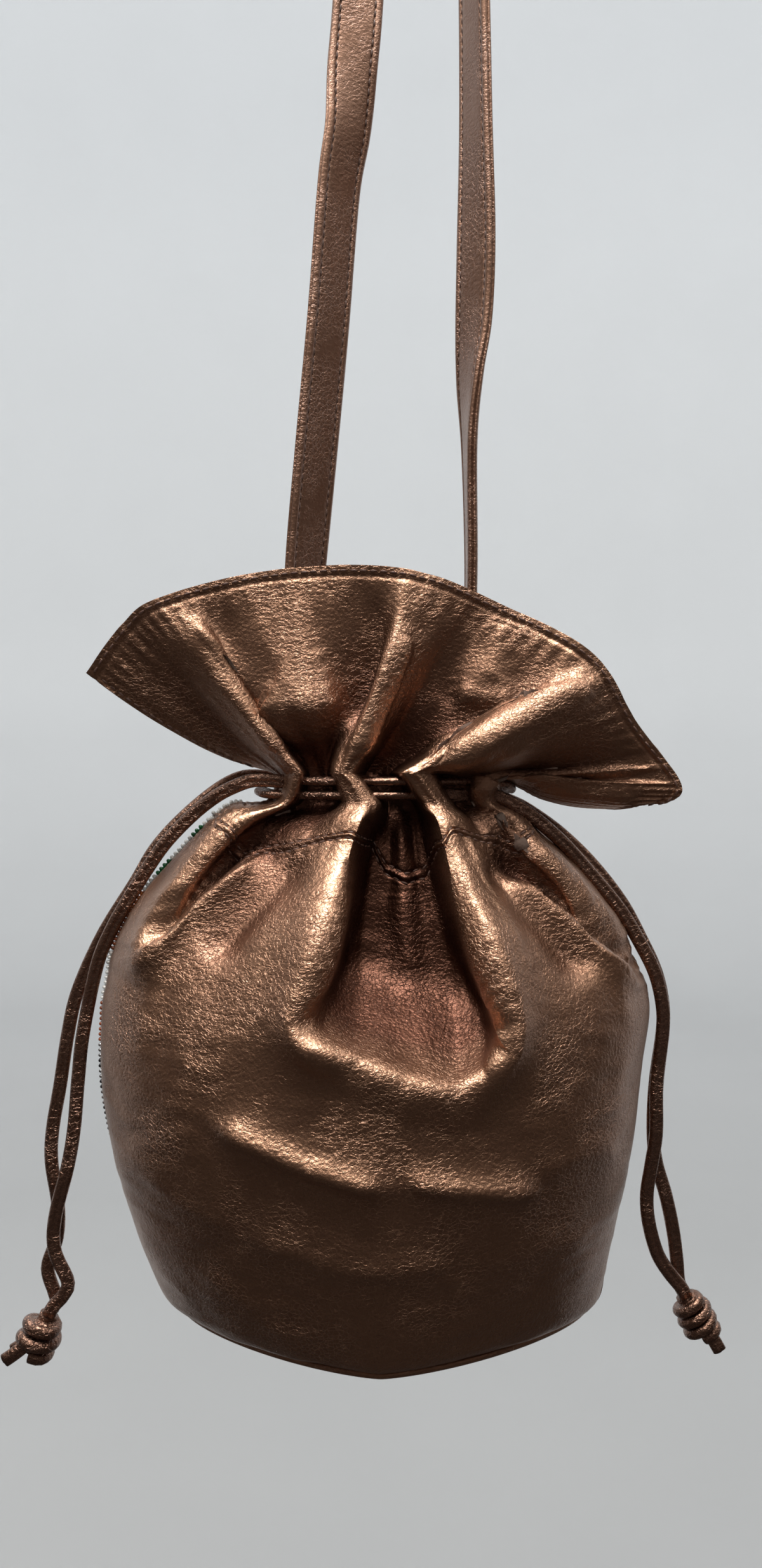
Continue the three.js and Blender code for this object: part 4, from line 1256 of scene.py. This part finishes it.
def add_camera(scene):
    """The photograph's view."""
    view = bpy.data.cameras.new("front_view")
    view.lens, view.sensor_width = VIEW_LENS, VIEW_SENSOR
    view.clip_start = 0.02
    camera = bpy.data.objects.new("front_view", view)
    camera.location = to_frame((0, -VIEW_BACK, VIEW_HEIGHT))
    camera.rotation_euler = (math.radians(90), 0, 0)
    scene.collection.objects.link(camera)
    scene.camera = camera


def add_floor():
    """A bowl: a flat floor that curves up into a wall all round."""
    profile = [(0, FLOOR_LEVEL), (FLOOR_RADIUS, FLOOR_LEVEL)]
    for turn in np.radians(np.linspace(0, 90, 13)[1:]):
        profile.append((FLOOR_RADIUS + FLOOR_CURVE * math.sin(turn),
                        FLOOR_LEVEL + FLOOR_CURVE - FLOOR_CURVE * math.cos(turn)))
    profile.append((FLOOR_RADIUS + FLOOR_CURVE, WALL_TOP))
    mesh = bmesh.new()
    corners = [mesh.verts.new((x, 0, z)) for x, z in profile]
    edges = [mesh.edges.new(pair) for pair in zip(corners, corners[1:])]
    bmesh.ops.spin(mesh, geom=edges + corners, cent=(0, 0, 0), axis=(0, 0, 1), angle=2 * math.pi, steps=72,
                   use_merge=True)
    bmesh.ops.remove_doubles(mesh, verts=mesh.verts, dist=1e-5)
    bmesh.ops.recalc_face_normals(mesh, faces=mesh.faces)
    bmesh.ops.reverse_faces(mesh, faces=mesh.faces)
    material, tree, shader = blank_material("studio_floor")
    where = object_places(tree)
    height = add(tree, "ShaderNodeSeparateXYZ", {0: where}).outputs["Z"]
    flat = moved(tree, "MULTIPLY", where, (1, 1, 0))
    radius = add(tree, "ShaderNodeVectorMath", {0: flat}, operation="LENGTH").outputs["Value"]
    # Painted shade: the floor is darker towards the middle and lighter higher up the wall, with a faint
    # random tone.
    tone = sum_of(tree, ramp(tree, radius, FLOOR_SHADE_TONE), remap(tree, height, 0.0, 1.3, 0.0, 0.1))
    tone = sum_of(tree, tone, remap(tree, noise_of(tree, where, 3.0), 0.3, 0.7, -0.008, 0.008))
    fill(tree, shader, {"Base Color": mix_colours(tree, tone, BLACK, colour("floor")), "Roughness": 0.9})
    made("studio_floor", mesh, material)


def add_tent():
    """A tent in front of the purse, open behind, which only reflections see: dim below and bright above."""
    mesh = bmesh.new()
    box = Matrix.Translation(TENT_MIDDLE) @ Matrix.Diagonal((*TENT_SIZE, 1))
    bmesh.ops.create_cube(mesh, size=1.0, matrix=box)
    bmesh.ops.delete(mesh, geom=[f for f in mesh.faces if f.normal.y > 0.5], context="FACES")
    bmesh.ops.reverse_faces(mesh, faces=mesh.faces)
    material, tree, shader = blank_material("soft_tent")
    height = add(tree, "ShaderNodeSeparateXYZ", {0: object_places(tree)}).outputs["Z"]
    tint = mix_colours(tree, remap(tree, height, -0.2, 0.6, 0.0, 1.0), TENT_LOW_TINT, TENT_HIGH_TINT)
    fill(tree, shader, {"Base Color": BLACK, "Specular IOR Level": 0.0, "Emission Color": tint,
                        "Emission Strength": ramp(tree, height, TENT_GLOW)})
    tent = made("soft_tent", mesh, material)
    tent.visible_camera = tent.visible_diffuse = tent.visible_shadow = False


class PURSE_OT_stage(bpy.types.Operator):
    """Pale studio bowl, soft lights and the camera"""
    bl_idname = "purse.stage"
    bl_label = "Stage"

    def execute(self, context):
        scene = bpy.context.scene
        add_camera(scene)
        add_floor()
        add_tent()
        studio_light("overhead_light", place=(-0.2, -0.35, 1.0), aim=(-0.016, 0, -0.6), width=1.0, depth=0.8,
                     power=42.0, tint=(1.0, 0.985, 0.96))
        world = bpy.data.worlds.new("studio_air")
        scene.world = world
        world.use_nodes = True
        air = world.node_tree.nodes["Background"]
        fill(world.node_tree, air, {"Color": (0.93, 0.96, 1.0, 1.0), "Strength": 1.02})
        scene.view_settings.view_transform = "Standard"
        return {"FINISHED"}


class PURSE_PT_panel(bpy.types.Panel):
    """Sizes, colours and steps of the purse"""
    bl_idname = "PURSE_PT_panel"
    bl_label = "Drawstring purse"
    bl_space_type = "VIEW_3D"
    bl_region_type = "UI"
    bl_category = "Purse"

    def draw(self, context):
        for group in (context.scene.purse_sizes, context.scene.purse_colours):
            box = self.layout.box()
            for name in group.bl_rna.properties.keys():
                if name not in ("rna_type", "name"):
                    box.prop(group, name)
        for operator in STEPS:
            self.layout.operator(operator.bl_idname)


STEPS = (PURSE_OT_stage, PURSE_OT_knots, PURSE_OT_cords, PURSE_OT_panels, PURSE_OT_base, PURSE_OT_strap,
         PURSE_OT_stitches, PURSE_OT_beads)
CLASSES = (PurseSizes, PurseColours, *STEPS, PURSE_PT_panel)


def register():
    for kind in CLASSES:
        bpy.utils.register_class(kind)
    bpy.types.Scene.purse_sizes = bpy.props.PointerProperty(type=PurseSizes)
    bpy.types.Scene.purse_colours = bpy.props.PointerProperty(type=PurseColours)


def unregister():
    del bpy.types.Scene.purse_colours
    del bpy.types.Scene.purse_sizes
    for kind in reversed(CLASSES):
        bpy.utils.unregister_class(kind)


def main():
    register()
    for operator in STEPS:
        group, name = operator.bl_idname.split(".")
        getattr(getattr(bpy.ops, group), name)()


if __name__ == "__main__":
    main()
